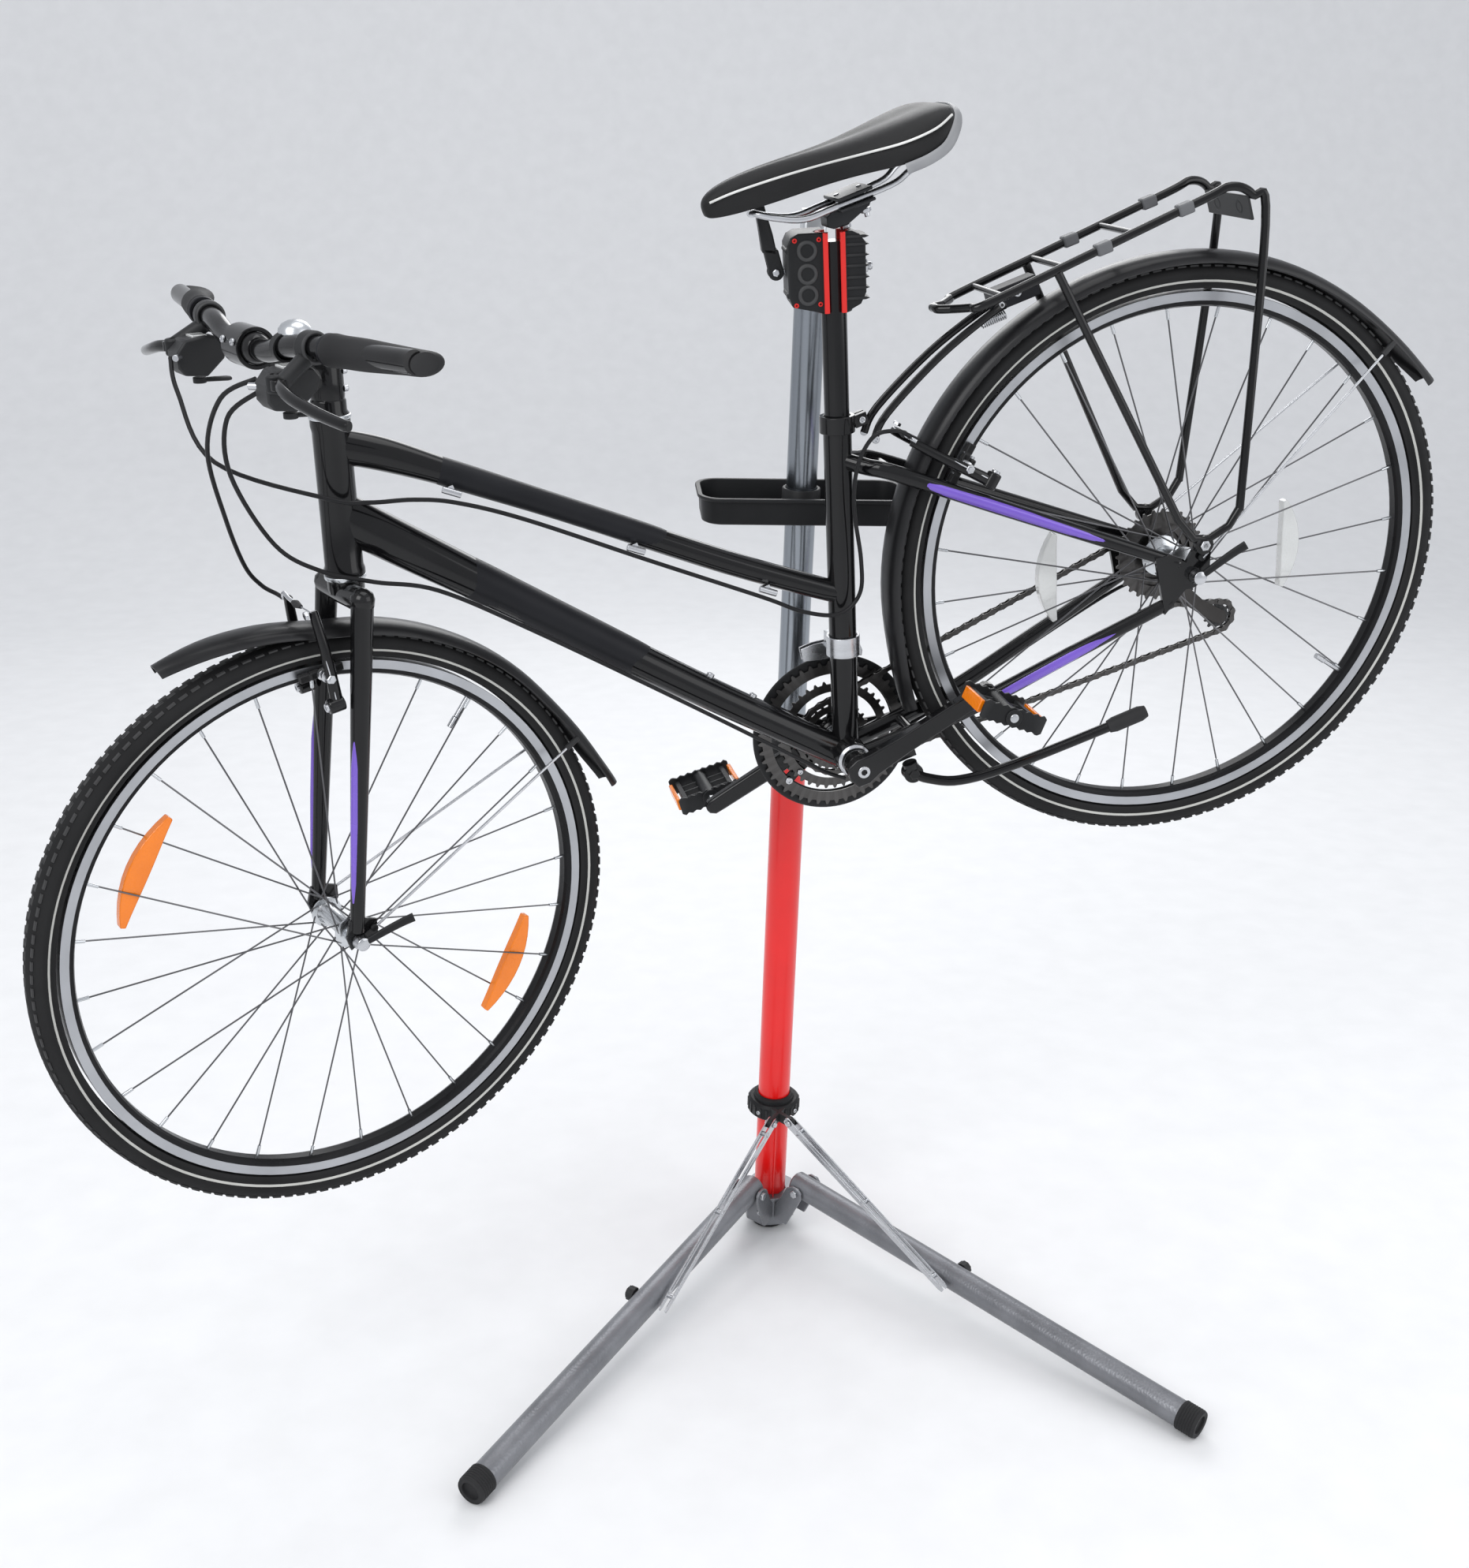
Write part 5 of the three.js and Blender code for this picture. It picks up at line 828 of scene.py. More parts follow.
# ---------------------------------------------------------------- bicycle: fork
# A black alloy fork with straight tapered blades, dropouts, brake studs and a violet flash on
# the lower half of each blade.
AXLE = Vector((-50, 0, 0))
CROWN = Vector((-3, 0, 387))
fork_parts = [turned([(0, -46), (13.6, -46), (14, 0), (13.6, 46), (0, 46)], CROWN, sides=32),
              turned([(0, 0), (19, 0), (20, 6), (20, 19), (0, 19)], (0, 0, 386), (0, 0, 1)),
              pipe([(0, 0, 400), (0, 0, 630)], 14, 32)]
flash = []
for s in (-1, 1):
    foot = AXLE + Vector((0, s * 54, 10))
    head_end = CROWN + Vector((0, s * 46, 0))
    fork_parts += [pipe([foot + (head_end - foot) * t for t in (0, 0.25, 0.5, 0.75, 1)], [8, 9, 10.3,
            11.6, 12.4], 28),
                   turned([(0, -3), (8, -1), (12.4, 6), (13.6, 14), (12, 20), (6, 25), (0, 26.4)],
                          head_end + Vector((0, 0, -12)),
                          (0, 0, 1), 28),
                   plate([(-60, -10), (-52, -6), (-40, -10), (-26, 4), (-26, 20), (-42, 26), (-58, 26),
                          (-64, 6)],
                         s * 54 - 2.5, s * 54 + 2.5)]
    pad = [foot + (head_end - foot) * t + Vector((-6.2 - 2 * t, s * (3.2 + t), 0)) for t in (0.1, 0.16,
            0.34, 0.52, 0.62)]
    flash.append(pipe(pad, [1.6, 3.4, 4.6, 4.6, 2], 16))
piece("fork_blades", "steering_unit", front, fork_parts, black_paint, ["fork"], edge=0.8)
piece("fork_flashes", "steering_unit", front, flash, violet, edge=0)

# ---------------------------------------------------------------- bicycle: cassette
# Seven stamped steel sprockets with spacers are pinned on a splined body behind a lock ring.
# It turns with the cranks, while the wheel runs free.
def toothed(teeth, root, tip, y0, y1, bore):
    loop = []
    for k in range(teeth):
        for part, r in ((0.0, root), (0.28, root), (0.45, tip), (0.62, tip), (0.8, root)):
            a = 2 * pi * (k + part) / teeth
            loop.append((r * cos(a), r * sin(a)))
    n = len(loop)
    inner = [(bore * cos(2 * pi * i / n), bore * sin(2 * pi * i / n)) for i in range(n)]
    corners = [Vector((x, y, z)) for y in (y0, y1) for x, z in loop + inner]
    faces = []
    for i in range(n):
        j = (i + 1) % n
        faces += [(i, j, 2 * n + j, 2 * n + i), (n + j, n + i, 3 * n + i, 3 * n + j), (i, n + i, n + j,
                j),
                  (2 * n + i, 2 * n + j, 3 * n + j, 3 * n + i)]
    return corners, faces


rear = Matrix.Translation(Vector(joint["rear_wheel_spin"]["pos_m"])) @ bike.to_3x3().to_4x4()
dark_steel = finish("oiled_steel", (0.055, 0.052, 0.05), 0.36, 1.0, uneven=0.25, grain=600, bump=0.15,
                    worn=0.3)
sprockets = []
for y, teeth, r in ((25, 28, 57), (29, 24, 49), (33, 21, 43), (37, 18, 37), (41, 15, 31), (45.3, 13,
        27.6), (50, 11, 22)):
    sprockets.append(toothed(teeth, r - 4, r, y - 0.9, y + 0.9, max(r - 17, 11)))
piece("cassette_sprockets", "sprockets", rear,
      sprockets + [turned([(9.8, 24), (12, 24), (12, 52), (18, 52.5), (18, 55), (15, 56.6), (9.8, 56.6)],
                          closed=True)],
      dark_steel, ["cassette"], edge=0)

# ---------------------------------------------------------------- bicycle: cranks and chainrings
# A forged black right arm with a five legged spider carries three toothed rings and a thin black
# guard disc, held with bright bolts. The left arm is pressed on the spindle's other end.
CRANK = 170
cranks = bike @ turn("Y", -10.9)
arm = [(-15, -14), (0, -17.5), (15, -14), (60, -11.5), (CRANK - 8, -10.5), (CRANK + 5, -10), (CRANK + 11,
        -5), (CRANK + 12, 0),
       (CRANK + 11, 5), (CRANK + 5, 10), (CRANK - 8, 10.5), (60, 11.5), (15, 14), (0, 17.5), (-15, 14),
       (-18, 0)]
mirrored = [(-x, z) for x, z in arm]
rings = [toothed(28, 41, 44.6, 43.6, 45.4, 33), toothed(38, 67, 71, 49.8, 51.6, 57), toothed(48, 90, 95,
        55.2, 57, 78)]
spider = []
for k in range(5):
    spider += placed(turn("Y", 20 + 72 * k), plate([(8, -12), (40, -8), (66, -6), (84, -7), (86, 0), (84,
            7), (66, 6), (40, 8),
                                                    (8, 12)], 57.4, 61))
guard_outline = [(98.5, 58.7), (100.6, 59.2), (100.6, 60.2), (98.5, 60.6), (80, 61.6), (77, 61.6), (77,
        60.4), (80, 60.2)]
piece("chain_rings", "crank_unit", cranks, rings, dark_steel, edge=0)
piece("ring_guard", "crank_unit", cranks, [turned(guard_outline, sides=96, closed=True)], black_plastic,
      ["crankset"], edge=0)
piece("crank_spider", "crank_unit", cranks, spider + [turned([(0, 36), (12, 36), (13, 52), (20, 57), (22,
        62), (20, 66), (0, 66)]),
                                                      pipe([(0, -54, 0), (0, 40, 0)], 11.6, 24)],
                                                              black_paint)
piece("crank_arm_right", "crank_unit", cranks, [plate(mirrored, 61.4, 73.6)], black_paint,
      edge=3)
bolts = []
for k in range(5):
    bolts += placed(turn("Y", 20 + 72 * k), socket_bolt((80, 61.4, 0), (0, 1, 0), 4.6, 1.8),
                    socket_bolt((80, 54.8, 0), (0, -1, 0), 4.6, 1.6), socket_bolt((62, 48.6, 0),
                            (0, -1, 0), 3.6, 1.4))
bolts += [socket_bolt((0, 73.4, 0), (0, 1, 0), 7.5, 1.6), socket_bolt((0, -73.6, 0), (0, -1, 0), 7.5,
        1.6)]
piece("crank_bolts", "crank_unit", cranks, bolts, steel, edge=0.2)
piece("crank_arm_left", "crank_unit", cranks, [plate(arm, -73.6, -60.4),
      turned([(12.4, -60.6), (16.5, -60.6), (17, -52), (16, -41), (12.4, -41)], closed=True)],
      black_paint,
      ["crank_left"], edge=3)

# ---------------------------------------------------------------- bicycle: pedals
# Each pedal is a black moulded cage round a steel axle, with saw edged side plates and an amber
# reflector at the front and back.
for side, s in (("left", -1), ("right", 1)):
    spin = joint[f"pedal_{side}_spin"]
    tilt = -10.9 + math.degrees(0.9 if side == "left" else 0.25)
    pedal = Matrix.Translation(Vector(spin["pos_m"])) @ (bike @ turn("Y", tilt)).to_3x3().to_4x4()
    body = f"{side}_pedal"
    saw = [(-40, -9), (-36, -12)]
    saw += [(-32 + 5 * k, -12 if k % 2 else -9.6) for k in range(14)]
    saw += [(36, -12), (40, -9), (40, 9), (36, 12)] + [(32 - 5 * k,
            12 if k % 2 else 9.6) for k in range(14)] + [(-36, 12), (-40, 9)]
    cage = [plate(saw, *sorted((s * 16, s * 19.4))), plate(saw, *sorted((s * 80.6, s * 84)))]
    cage += [pipe([(0, s * 14, 0), (0, s * 30, 0), (0, s * 60, 0), (0, s * 86, 0)], [11, 9.6, 8.8, 10],
                  24)]
    for x in (-30, 30):
        cage.append(brick(x - 3, x + 3, *sorted((s * 18, s * 82)), -6, 6))
    for y in (34, 50, 66):
        cage.append(brick(-30, 30, *sorted((s * (y - 1.4), s * (y + 1.4))), -4, 4))
    piece(f"pedal_cage_{side}", body, pedal, cage, black_plastic, [f"pedal_{side}"],
          edge=0.6)
    lenses = [brick(x - 2.6, x + 2.6, *sorted((s * 26, s * 76)), -7.6, 7.6) for x in (-39.4, 39.4)]
    piece(f"pedal_reflectors_{side}", body, pedal, lenses, amber, edge=1.2)
    piece(f"pedal_axle_{side}", body, pedal, [pipe([(0, -s * 9, 0), (0, s * 16, 0)], 4, 16),
                                              hexagon((0, s * 2, 0), (0, s, 0), 8, 6),
                                              turned([(0, 0), (6, 0), (5, 3), (0, 4)], (0, s * 84, 0),
                                                      (0, s, 0))], steel)

# ---------------------------------------------------------------- bicycle: chain
# Riveted links run round the smallest ring and a small sprocket, and back under the lower
# pulley and over the upper one.
PULLEY_TOP = REAR + Vector((22, 44.5, -66))
PULLEY_LOW = REAR + Vector((62, 44.5, -118))


def arc(centre, r, start, stop, n):
    return [Vector((centre[0] + r * cos(radians(start + (stop - start) * i / n)), 44.5,
                    centre[2] + r * sin(radians(start + (stop - start) * i / n)))) for i in range(n + 1)]


loop = arc((0, 0, 0), 47, 97, 263, 24) + arc(PULLEY_LOW, 21, 262, 400, 16) + arc(PULLEY_TOP, 21, 215,
        160, 8)
loop += arc(REAR, 30.5, -42, 97, 18)
loop.append(loop[0])
lengths = [(loop[i + 1] - loop[i]).length for i in range(len(loop) - 1)]
count = 2 * round(sum(lengths) / 25.4)
pitch_length = sum(lengths) / count


def along(distance):
    for i, length in enumerate(lengths):
        if distance <= length or i == len(lengths) - 1:
            return loop[i] + (loop[i + 1] - loop[i]) * min(1, distance / length)
        distance -= length


pins_at = [along(pitch_length * k) for k in range(count)]
side_plates, rollers = [], []
for k, a in enumerate(pins_at):
    b = pins_at[(k + 1) % count]
    way = (b - a).normalized()
    up = Vector((-way.z, 0, way.x))
    middle = (a + b) / 2
    for s in (-1, 1):
        y = s * (2.7 if k % 2 else 1.9)
        shape = [a - way * 3.4 + up * 1.6, a + up * 3.6, middle + up * 2.5, b + up * 3.6,
                 b + way * 3.4 + up * 1.6,
                 b + way * 3.4 - up * 1.6, b - up * 3.6, middle - up * 2.5, a - up * 3.6,
                 a - way * 3.4 - up * 1.6]
        side_plates.append(plate([(p.x, p.z) for p in shape], 44.5 + y - 0.4, 44.5 + y + 0.4))
    rollers.append(turned([(0, -3), (1.8, -3), (1.8, -1.5), (3.4, -1.5), (3.4, 1.5), (1.8, 1.5), (1.8,
            3), (0, 3)],
                          a, (0, 1, 0), sides=10))
piece("chain_links", "bicycle", bike, side_plates + rollers, dark_steel, ["chain"], edge=0)

# ---------------------------------------------------------------- bicycle: derailleurs
# The rear changer hangs from the right dropout: a painted body, a bright cage of two plates and
# two toothed pulleys. The front changer is a bright cage clamped round the seat tube.
cage_outline = [(PULLEY_TOP.x - 10, PULLEY_TOP.z - 5), (PULLEY_TOP.x - 9, PULLEY_TOP.z + 5),
                (PULLEY_TOP.x, PULLEY_TOP.z + 10),
                (PULLEY_TOP.x + 9, PULLEY_TOP.z + 5), (PULLEY_TOP.x + 26, PULLEY_TOP.z - 24),
                (PULLEY_LOW.x + 10, PULLEY_LOW.z + 3),
                (PULLEY_LOW.x + 8, PULLEY_LOW.z - 7), (PULLEY_LOW.x, PULLEY_LOW.z - 10),
                (PULLEY_LOW.x - 9, PULLEY_LOW.z - 4)]
piece("rear_changer_cage", "bicycle", bike, [plate(cage_outline, 38.4, 39.9), plate(cage_outline, 49,
        50.5)], dark_steel,
      ["derailleur_rear"], edge=0.4)
pulleys = []
for centre in (PULLEY_TOP, PULLEY_LOW):
    pulleys += placed(move(centre.x, 0, centre.z), toothed(11, 14.5, 18, 43.4, 45.6, 5),
                      turned([(0, 42), (9, 42), (9, 47), (0, 47)]),
                      hexagon((0, 50.4, 0), (0, 1, 0), 4, 2), pipe([(0, 39, 0), (0, 50, 0)], 3, 12))
piece("rear_changer_pulleys", "bicycle", bike, pulleys, black_plastic, edge=0)
changer = [pipe([(PULLEY_TOP.x, 51, PULLEY_TOP.z), (PULLEY_TOP.x, 62, PULLEY_TOP.z), (PULLEY_TOP.x, 75,
        PULLEY_TOP.z)], [12, 11, 8], 24),
           plate([(PULLEY_TOP.x - 11, -9), (PULLEY_TOP.x - 15, 8), (PULLEY_TOP.x - 15, 20), (458, 32),
                  (468, 32), (475, 22),
                  (PULLEY_TOP.x + 13, 6), (PULLEY_TOP.x + 9, -6)], 70.6, 79.6),
           pipe([(PULLEY_TOP.x + 3, 58, 0), (PULLEY_TOP.x - 2, 66, 12), (464, 75, 26)], [8, 9, 9], 16)]
piece("rear_changer_body", "bicycle", bike, changer, finish("grey_changer", (0.035, 0.036, 0.038), 0.35,
        0.6, grain=900, bump=0.1,
      worn=0.3), edge=1)
piece("rear_changer_bolts", "bicycle", bike, [socket_bolt((462, 79.4, 27), (0, 1, 0), 6, 2.2),
                                              socket_bolt((PULLEY_TOP.x, 79.4, 0),
      (0, 1, 0), 5, 2.2), pipe([(476, 74, 18), (486, 74, 12)], 3.4, 14)], steel)
front_cage = [plate([(-6, 106), (16, 99), (40, 96), (64, 84), (67, 90), (66, 104), (40, 117), (12, 122),
                     (-4, 122)], y, y + 1.4)
              for y in (49.3, 58.1)] + [brick(40, 60, 49.4, 59.4, 106, 108.4)]
front_cage += [plate([(24, 116), (30, 112), (52, 118), (54, 130), (30, 134)], 18, 49.4),
               turned([(16.4, 122), (20, 122), (20, 146), (16.4, 146)], (0, 0, 0), seat_way, closed=True)]
piece("front_changer", "bicycle", bike, front_cage, steel, ["derailleur_front"], edge=0.5)

# ---------------------------------------------------------------- bicycle: kickstand
# A bent black leg with a rubber shoe turns on a short barrel under the bottom bracket.
kick = Matrix.Translation(Vector(joint["kickstand_swing"]["pos_m"])) @ bike.to_3x3().to_4x4()
piece("kickstand_leg", "prop_stand", kick,
      [turned([(0, 0), (12, 0), (12, 14), (0, 14)]), pipe([(0, 6, 0), (0, 6, 14)], 9, 20),
       hexagon((0, 0, 0), (0, -1, 0), 7, 4),
       pipe(smooth([(0, 5, 0), (14, -2, -12), (50, -7, -29), (120, -12, -36), (262, -34, -28)], 6), 6.2,
            18)],
      black_paint, ["kickstand"], edge=0.8)
piece("kickstand_shoe", "prop_stand", kick, [pipe([(236, -30, -29.6), (244, -31.4, -29), (276, -36.2,
        -26.6), (284, -37.4, -26)],
                                                  [7.6, 9.4, 9.4, 7], 20)], rubber)

# ---------------------------------------------------------------- bicycle: mudguards
# Thin bowed black plastic guards follow the tyres. Steel wires clipped to their edges hold them
# to eyes on the dropouts, and the ends flare outwards.
def guard(stations, half):
    loops = []
    table = [Vector((angle, r, w[0] if w else half)) for angle, r, *w in stations]
    for angle, r, w in smooth(table, 4):
        out = Vector((sin(radians(angle)), 0, cos(radians(angle))))
        upper = [(-w, -12), (-w * 0.93, -7.5), (-w * 0.72, -3.2), (-w * 0.4, -0.8), (0, 0), (w * 0.4,
                -0.8), (w * 0.72, -3.2),
                 (w * 0.93, -7.5), (w, -12)]
        under = [(y * 0.94, h - 1.5) for y, h in reversed(upper)]
        loops.append([out * (r + h) + Vector((0, y, 0)) for y, h in upper + under])
    return stacked(loops)


guard_plastic = finish("guard_black", (0.008, 0.008, 0.009), 0.34, uneven=0.1, coat=0.1, grain=1200,
                       bump=0.08, worn=0.2)
ends = {"rear": ("bicycle", rear, [(-97, 368, 18)] + [(a, 361, 26) for a in range(-84, 49, 12)] + [(60,
        364, 26), (70, 371, 25),
                 (77, 381, 14)], 64, (11, 75, 20), 71.6),
        "front": ("steering_unit", front @ move(*AXLE), [(-26, 386, 12), (-18, 380, 22), (-8, 370, 26)]
                  + [(a, 360, 26) for a in range(2, 53, 10)] + [(60, 364, 26), (70, 374, 25), (77.5, 388,
                          16)], 63, (18, 60, 12), 59)}
for end, (body, place, stations, clip_angle, eye_at, bolt_y) in ends.items():
    piece(f"mudguard_{end}", body, place, [guard(stations, 26)], guard_plastic,
          [f"fender_{end}"], edge=0)
    wires, knobs = [], []
    a = radians(clip_angle)
    for s in (-1, 1):
        clip = Vector((354 * sin(a), s * 24, 354 * cos(a)))
        eye = Vector((eye_at[0], s * eye_at[1], eye_at[2]))
        wires.append(pipe([clip, clip + (eye - clip) * 0.5, eye], 1.7, 12))
        knobs += [turned([(0, 0), (4.4, 0), (4.4, 3), (0, 4)], (eye.x, s * bolt_y, eye.z), (0, s, 0)),
                  pipe([clip, clip + (eye - clip) * 0.06], 3.6, 12)]
    piece(f"mudguard_stays_{end}", body, place, wires, steel, edge=0)
    piece(f"mudguard_clips_{end}", body, place, knobs, black_plastic)

# ---------------------------------------------------------------- bicycle: carrier
# A black welded alloy rack: two bent side tubes, cross tubes and a tongue, hung from adjustable
# struts at the seat stays and bolted to the dropouts, with grey clips and a drilled end plate.
def rail_z(x):
    return 450 + 16 * (x - 300) / 270


FOOT_Y = 76
tubes, spare = [], []
for s in (-1, 1):
    tubes += [pipe(smooth([(268, s * 16, rail_z(268) + 4), (284, s * 34, rail_z(284) + 1), (300, s * 45,
            rail_z(300)),
                           (430, s * 45, rail_z(430)), (565, s * 45, 466), (596, s * 47, 468), (616,
                                   s * 51, 452), (622, s * 55, 416),
                           (514, s * FOOT_Y, 122)], 7), 4.9, 16),
              pipe([(514, s * FOOT_Y, 124), (497, s * FOOT_Y, 109), (470, s * FOOT_Y, 104), (452,
                      s * FOOT_Y, 112),
                    (440, s * FOOT_Y, 140), (384, s * 45.6, 452)], 4.9, 16),
              turned([(5, -4), (11, -4), (11, 4), (5, 4)], (462, s * (FOOT_Y + 0.5), 100), closed=True)]
    spare += [pipe([(462, s * 70, 100), (462, s * 84, 100)], 3.4, 14), hexagon((462, s * 80, 100),
            (0, s, 0), 6.5, 4)]
    tubes.append(pipe(smooth([(330, s * 10, 432), (310, s * 14, 430), (240, s * 17, 408), (165, s * 19,
            372), (142, s * 19, 350)], 5),
                      (2.2, 4.6), 14))
    spare += [socket_bolt((346, s * 12, 440), (0, s, 0), 4.5, 2.6), socket_bolt((325, s * 12, 434),
            (0, s, 0), 3.6, 2.4),
              socket_bolt((143, s * 21, 350), (0, s, 0), 4.4, 2.6)]
tubes.append(pipe(smooth([(268, -16, rail_z(268) + 4), (256, -9, rail_z(256) + 8), (255, 0,
        rail_z(255) + 9), (256, 9, rail_z(256) + 8),
                          (268, 16, rail_z(268) + 4)], 5), 4.9, 16))
for x in (318, 392, 478):
    tubes.append(pipe([(x, -45, rail_z(x)), (x, 45, rail_z(x))], 3.6, 14))
piece("carrier_tubes", "bicycle", bike, tubes, black_paint, ["carrier"], edge=0.5)
strut_box = [brick(316, 372, -11.6, 11.6, 428, 451)]
piece("carrier_strut_box", "bicycle", bike, strut_box, satin_panel, edge=1.5)
piece("carrier_bolts", "bicycle", bike, spare, steel, edge=0.2)
plate_holes = [turned([(4, -1.6), (8, -1.6), (8, 1.6), (4, 1.6)], (612, y, 438), (1, 0, 0),
                      closed=True) for y in (-25, 25)]
piece("carrier_end_plate", "bicycle", bike, [brick(610.6, 613.4, -50, 50, 425, 452)] + plate_holes,
      black_plastic,
      edge=0.8)
clips = [brick(x - 9, x + 9, y - 7, y + 7, rail_z(x) - 6.4, rail_z(x) + 6.4) for x, y in ((440, -45),
        (540, -45), (440, 45), (540, 45))]
piece("carrier_clips", "bicycle", bike, clips, finish("grey_clip", (0.11, 0.113, 0.12), 0.5, grain=1200,
        bump=0.15),
      edge=2)
coil = [(300 + 0.36 * k, 5.2 * cos(k * 0.9), 420 + 5.2 * sin(k * 0.9)) for k in range(84)]
piece("carrier_spring", "bicycle", bike, [pipe(coil, 0.9, 8)], steel, edge=0)

# ---------------------------------------------------------------- bicycle: rim brakes
# Linear pull arms turn on studs. Each carries a rubber shoe on a threaded post with washers,
# and the pair's tops are joined by a bent bright noodle, a rubber boot and the inner wire.
brakes = {"front": (front, (-42, 277), (-0.14, 0.99), (-0.99, -0.14), Vector((-50, 0, 0)), 1),
          "rear": (bike, (252, 260), (-0.68, 0.733), (0.733, 0.68), REAR, -1)}
for end, (place, pivot, way, stud, axle, cable_side) in brakes.items():
    way = Vector((way[0], 0, way[1])).normalized()
    stud = Vector((stud[0], 0, stud[1])).normalized()
    centre = Vector((pivot[0], 0, pivot[1]))
    shoe_h = 309 - (centre - axle).length
    for side, s in (("left", -1), ("right", 1)):
        body = f"{end}_brake_{side}"

        def spot(h, y, f=0):
            return centre + way * h + stud * f + Vector((0, s * y, 0))

        arm_route = [spot(0, 40, -2), spot(24, 42, -2), spot(60, 40, -3), spot(96, 35, -3), spot(106, 33,
                -3)]
        arm_parts = [pipe(smooth(arm_route, 5), [(5, 7.4 - 0.14 * i) for i in range(21)], 16),
                     turned([(0, -9), (8.4, -9), (8.4, 8), (7, 9), (0, 9)], spot(0, 40), stud)]
        piece(f"brake_arm_{end}_{side}", body, place, arm_parts, black_paint,
              [f"brake_{end}_{side}"], edge=1)
        shoe = placed(Matrix.Translation(spot(shoe_h, 18.1)) @ Matrix((stud, Vector((0, 1, 0)),
                stud.cross(Vector((0, 1, 0))))
                                                                  ).transposed().to_4x4(),
                      *[brick(x - 5.6, x + 5.6, -3.9, 3.9, -4.2, 4.2) for x in (-19.5, -6.5, 6.5, 19.5)],
                      brick(-25, 25, *sorted((s * 0.5, s * 3.9)), -3.6, 3.6))
        piece(f"brake_shoe_{end}_{side}", body, place, shoe, rubber, edge=0.6)
        metal = [pipe([spot(shoe_h, 21), spot(shoe_h, 50)], 3, 14), turned([(3, 0), (7, 0), (6, 4), (3,
                5)], spot(shoe_h, 24), (0, s, 0)),
                 turned([(3, 0), (6.5, 0), (6.5, 3), (3, 4)], spot(shoe_h, 33), (0, s, 0)),
                 hexagon(spot(shoe_h, 44.5), (0, s, 0), 5.4, 4),
                 socket_bolt(spot(0, 40, 9), stud, 5, 3),
                 pipe([spot(8, 45.5), spot(40, 46), spot(70, 41.5)], 0.9, 8)]
        if s == cable_side:
            metal += [pipe(smooth([spot(103, 41), spot(111, 35), spot(108, 24), spot(106, 8)], 5), 2.3,
                           14),
                      pipe([spot(106, 9), spot(106, -26)], 0.9, 8)]
            piece(f"brake_boot_{end}", body, place, [pipe([spot(106, 12), spot(106, 4), spot(106, -9)],
                    [2.6, 4.4, 2.2], 16)],
                  rubber, edge=0)
        else:
            metal += [pipe([spot(106, 12), spot(106, 36)], 0.9, 8), hexagon(spot(104, 34, 4), stud, 5, 4)]
        piece(f"brake_metal_{end}_{side}", body, place, metal, steel, edge=0.2)

# ---------------------------------------------------------------- bicycle: stem, handlebar and grips
# A black alloy stem clamps on the steerer and holds a slightly swept bar. The rubber grips
# flatten into broad wings at the back for the palms, between lock rings.
stem_parts = [turned([(15, 574.4), (21, 574.4), (21, 578), (18.6, 582), (18.6, 592), (17.4, 594), (18,
        598), (18, 632), (16.5, 634.4),
                      (0, 634.4)], (0, 0, 0), (0, 0, 1)),
              pipe([(-6, 0, 613), (-30, 0, 627), (-62, 0, 647)], [(15, 16), (13.4, 15), (15, 14)], 28),
              turned([(16.4, -21), (21, -21), (21, 21), (16.4, 21)], (-78, 0, 655), closed=True)]
piece("stem_body", "steering_unit", front, stem_parts, black_paint, ["stem"], edge=1)
piece("stem_bolts", "steering_unit", front, [socket_bolt((0, 0, 634), (0, 0, 1), 7, 2),
                                             socket_bolt((-98, -13, 662), (-1, 0, 0.3), 3.6, 3),
      socket_bolt((-98, 13, 662), (-1, 0, 0.3), 3.6, 3), socket_bolt((14, -10, 604), (1, 0, 0), 3.6, 5),
      socket_bolt((14, -10, 622), (1, 0, 0), 3.6, 5)], steel)
bar = [(-40, -293, 673), (-55.5, -200, 670.5), (-71, -110, 668), (-77, -56, 657), (-78, -24, 655), (-78,
        24, 655), (-77, 56, 657),
       (-71, 110, 668), (-55.5, 200, 670.5), (-40, 293, 673)]
piece("handlebar_tube", "steering_unit", front, [pipe(smooth(bar, 6), 11, 28),
                                                 pipe([(-78, -29, 655), (-78, -24, 655), (-78, 24, 655),
      (-78, 29, 655)], [12, 15.8, 15.8, 12], 28)], black_paint, ["handlebar"], edge=0)
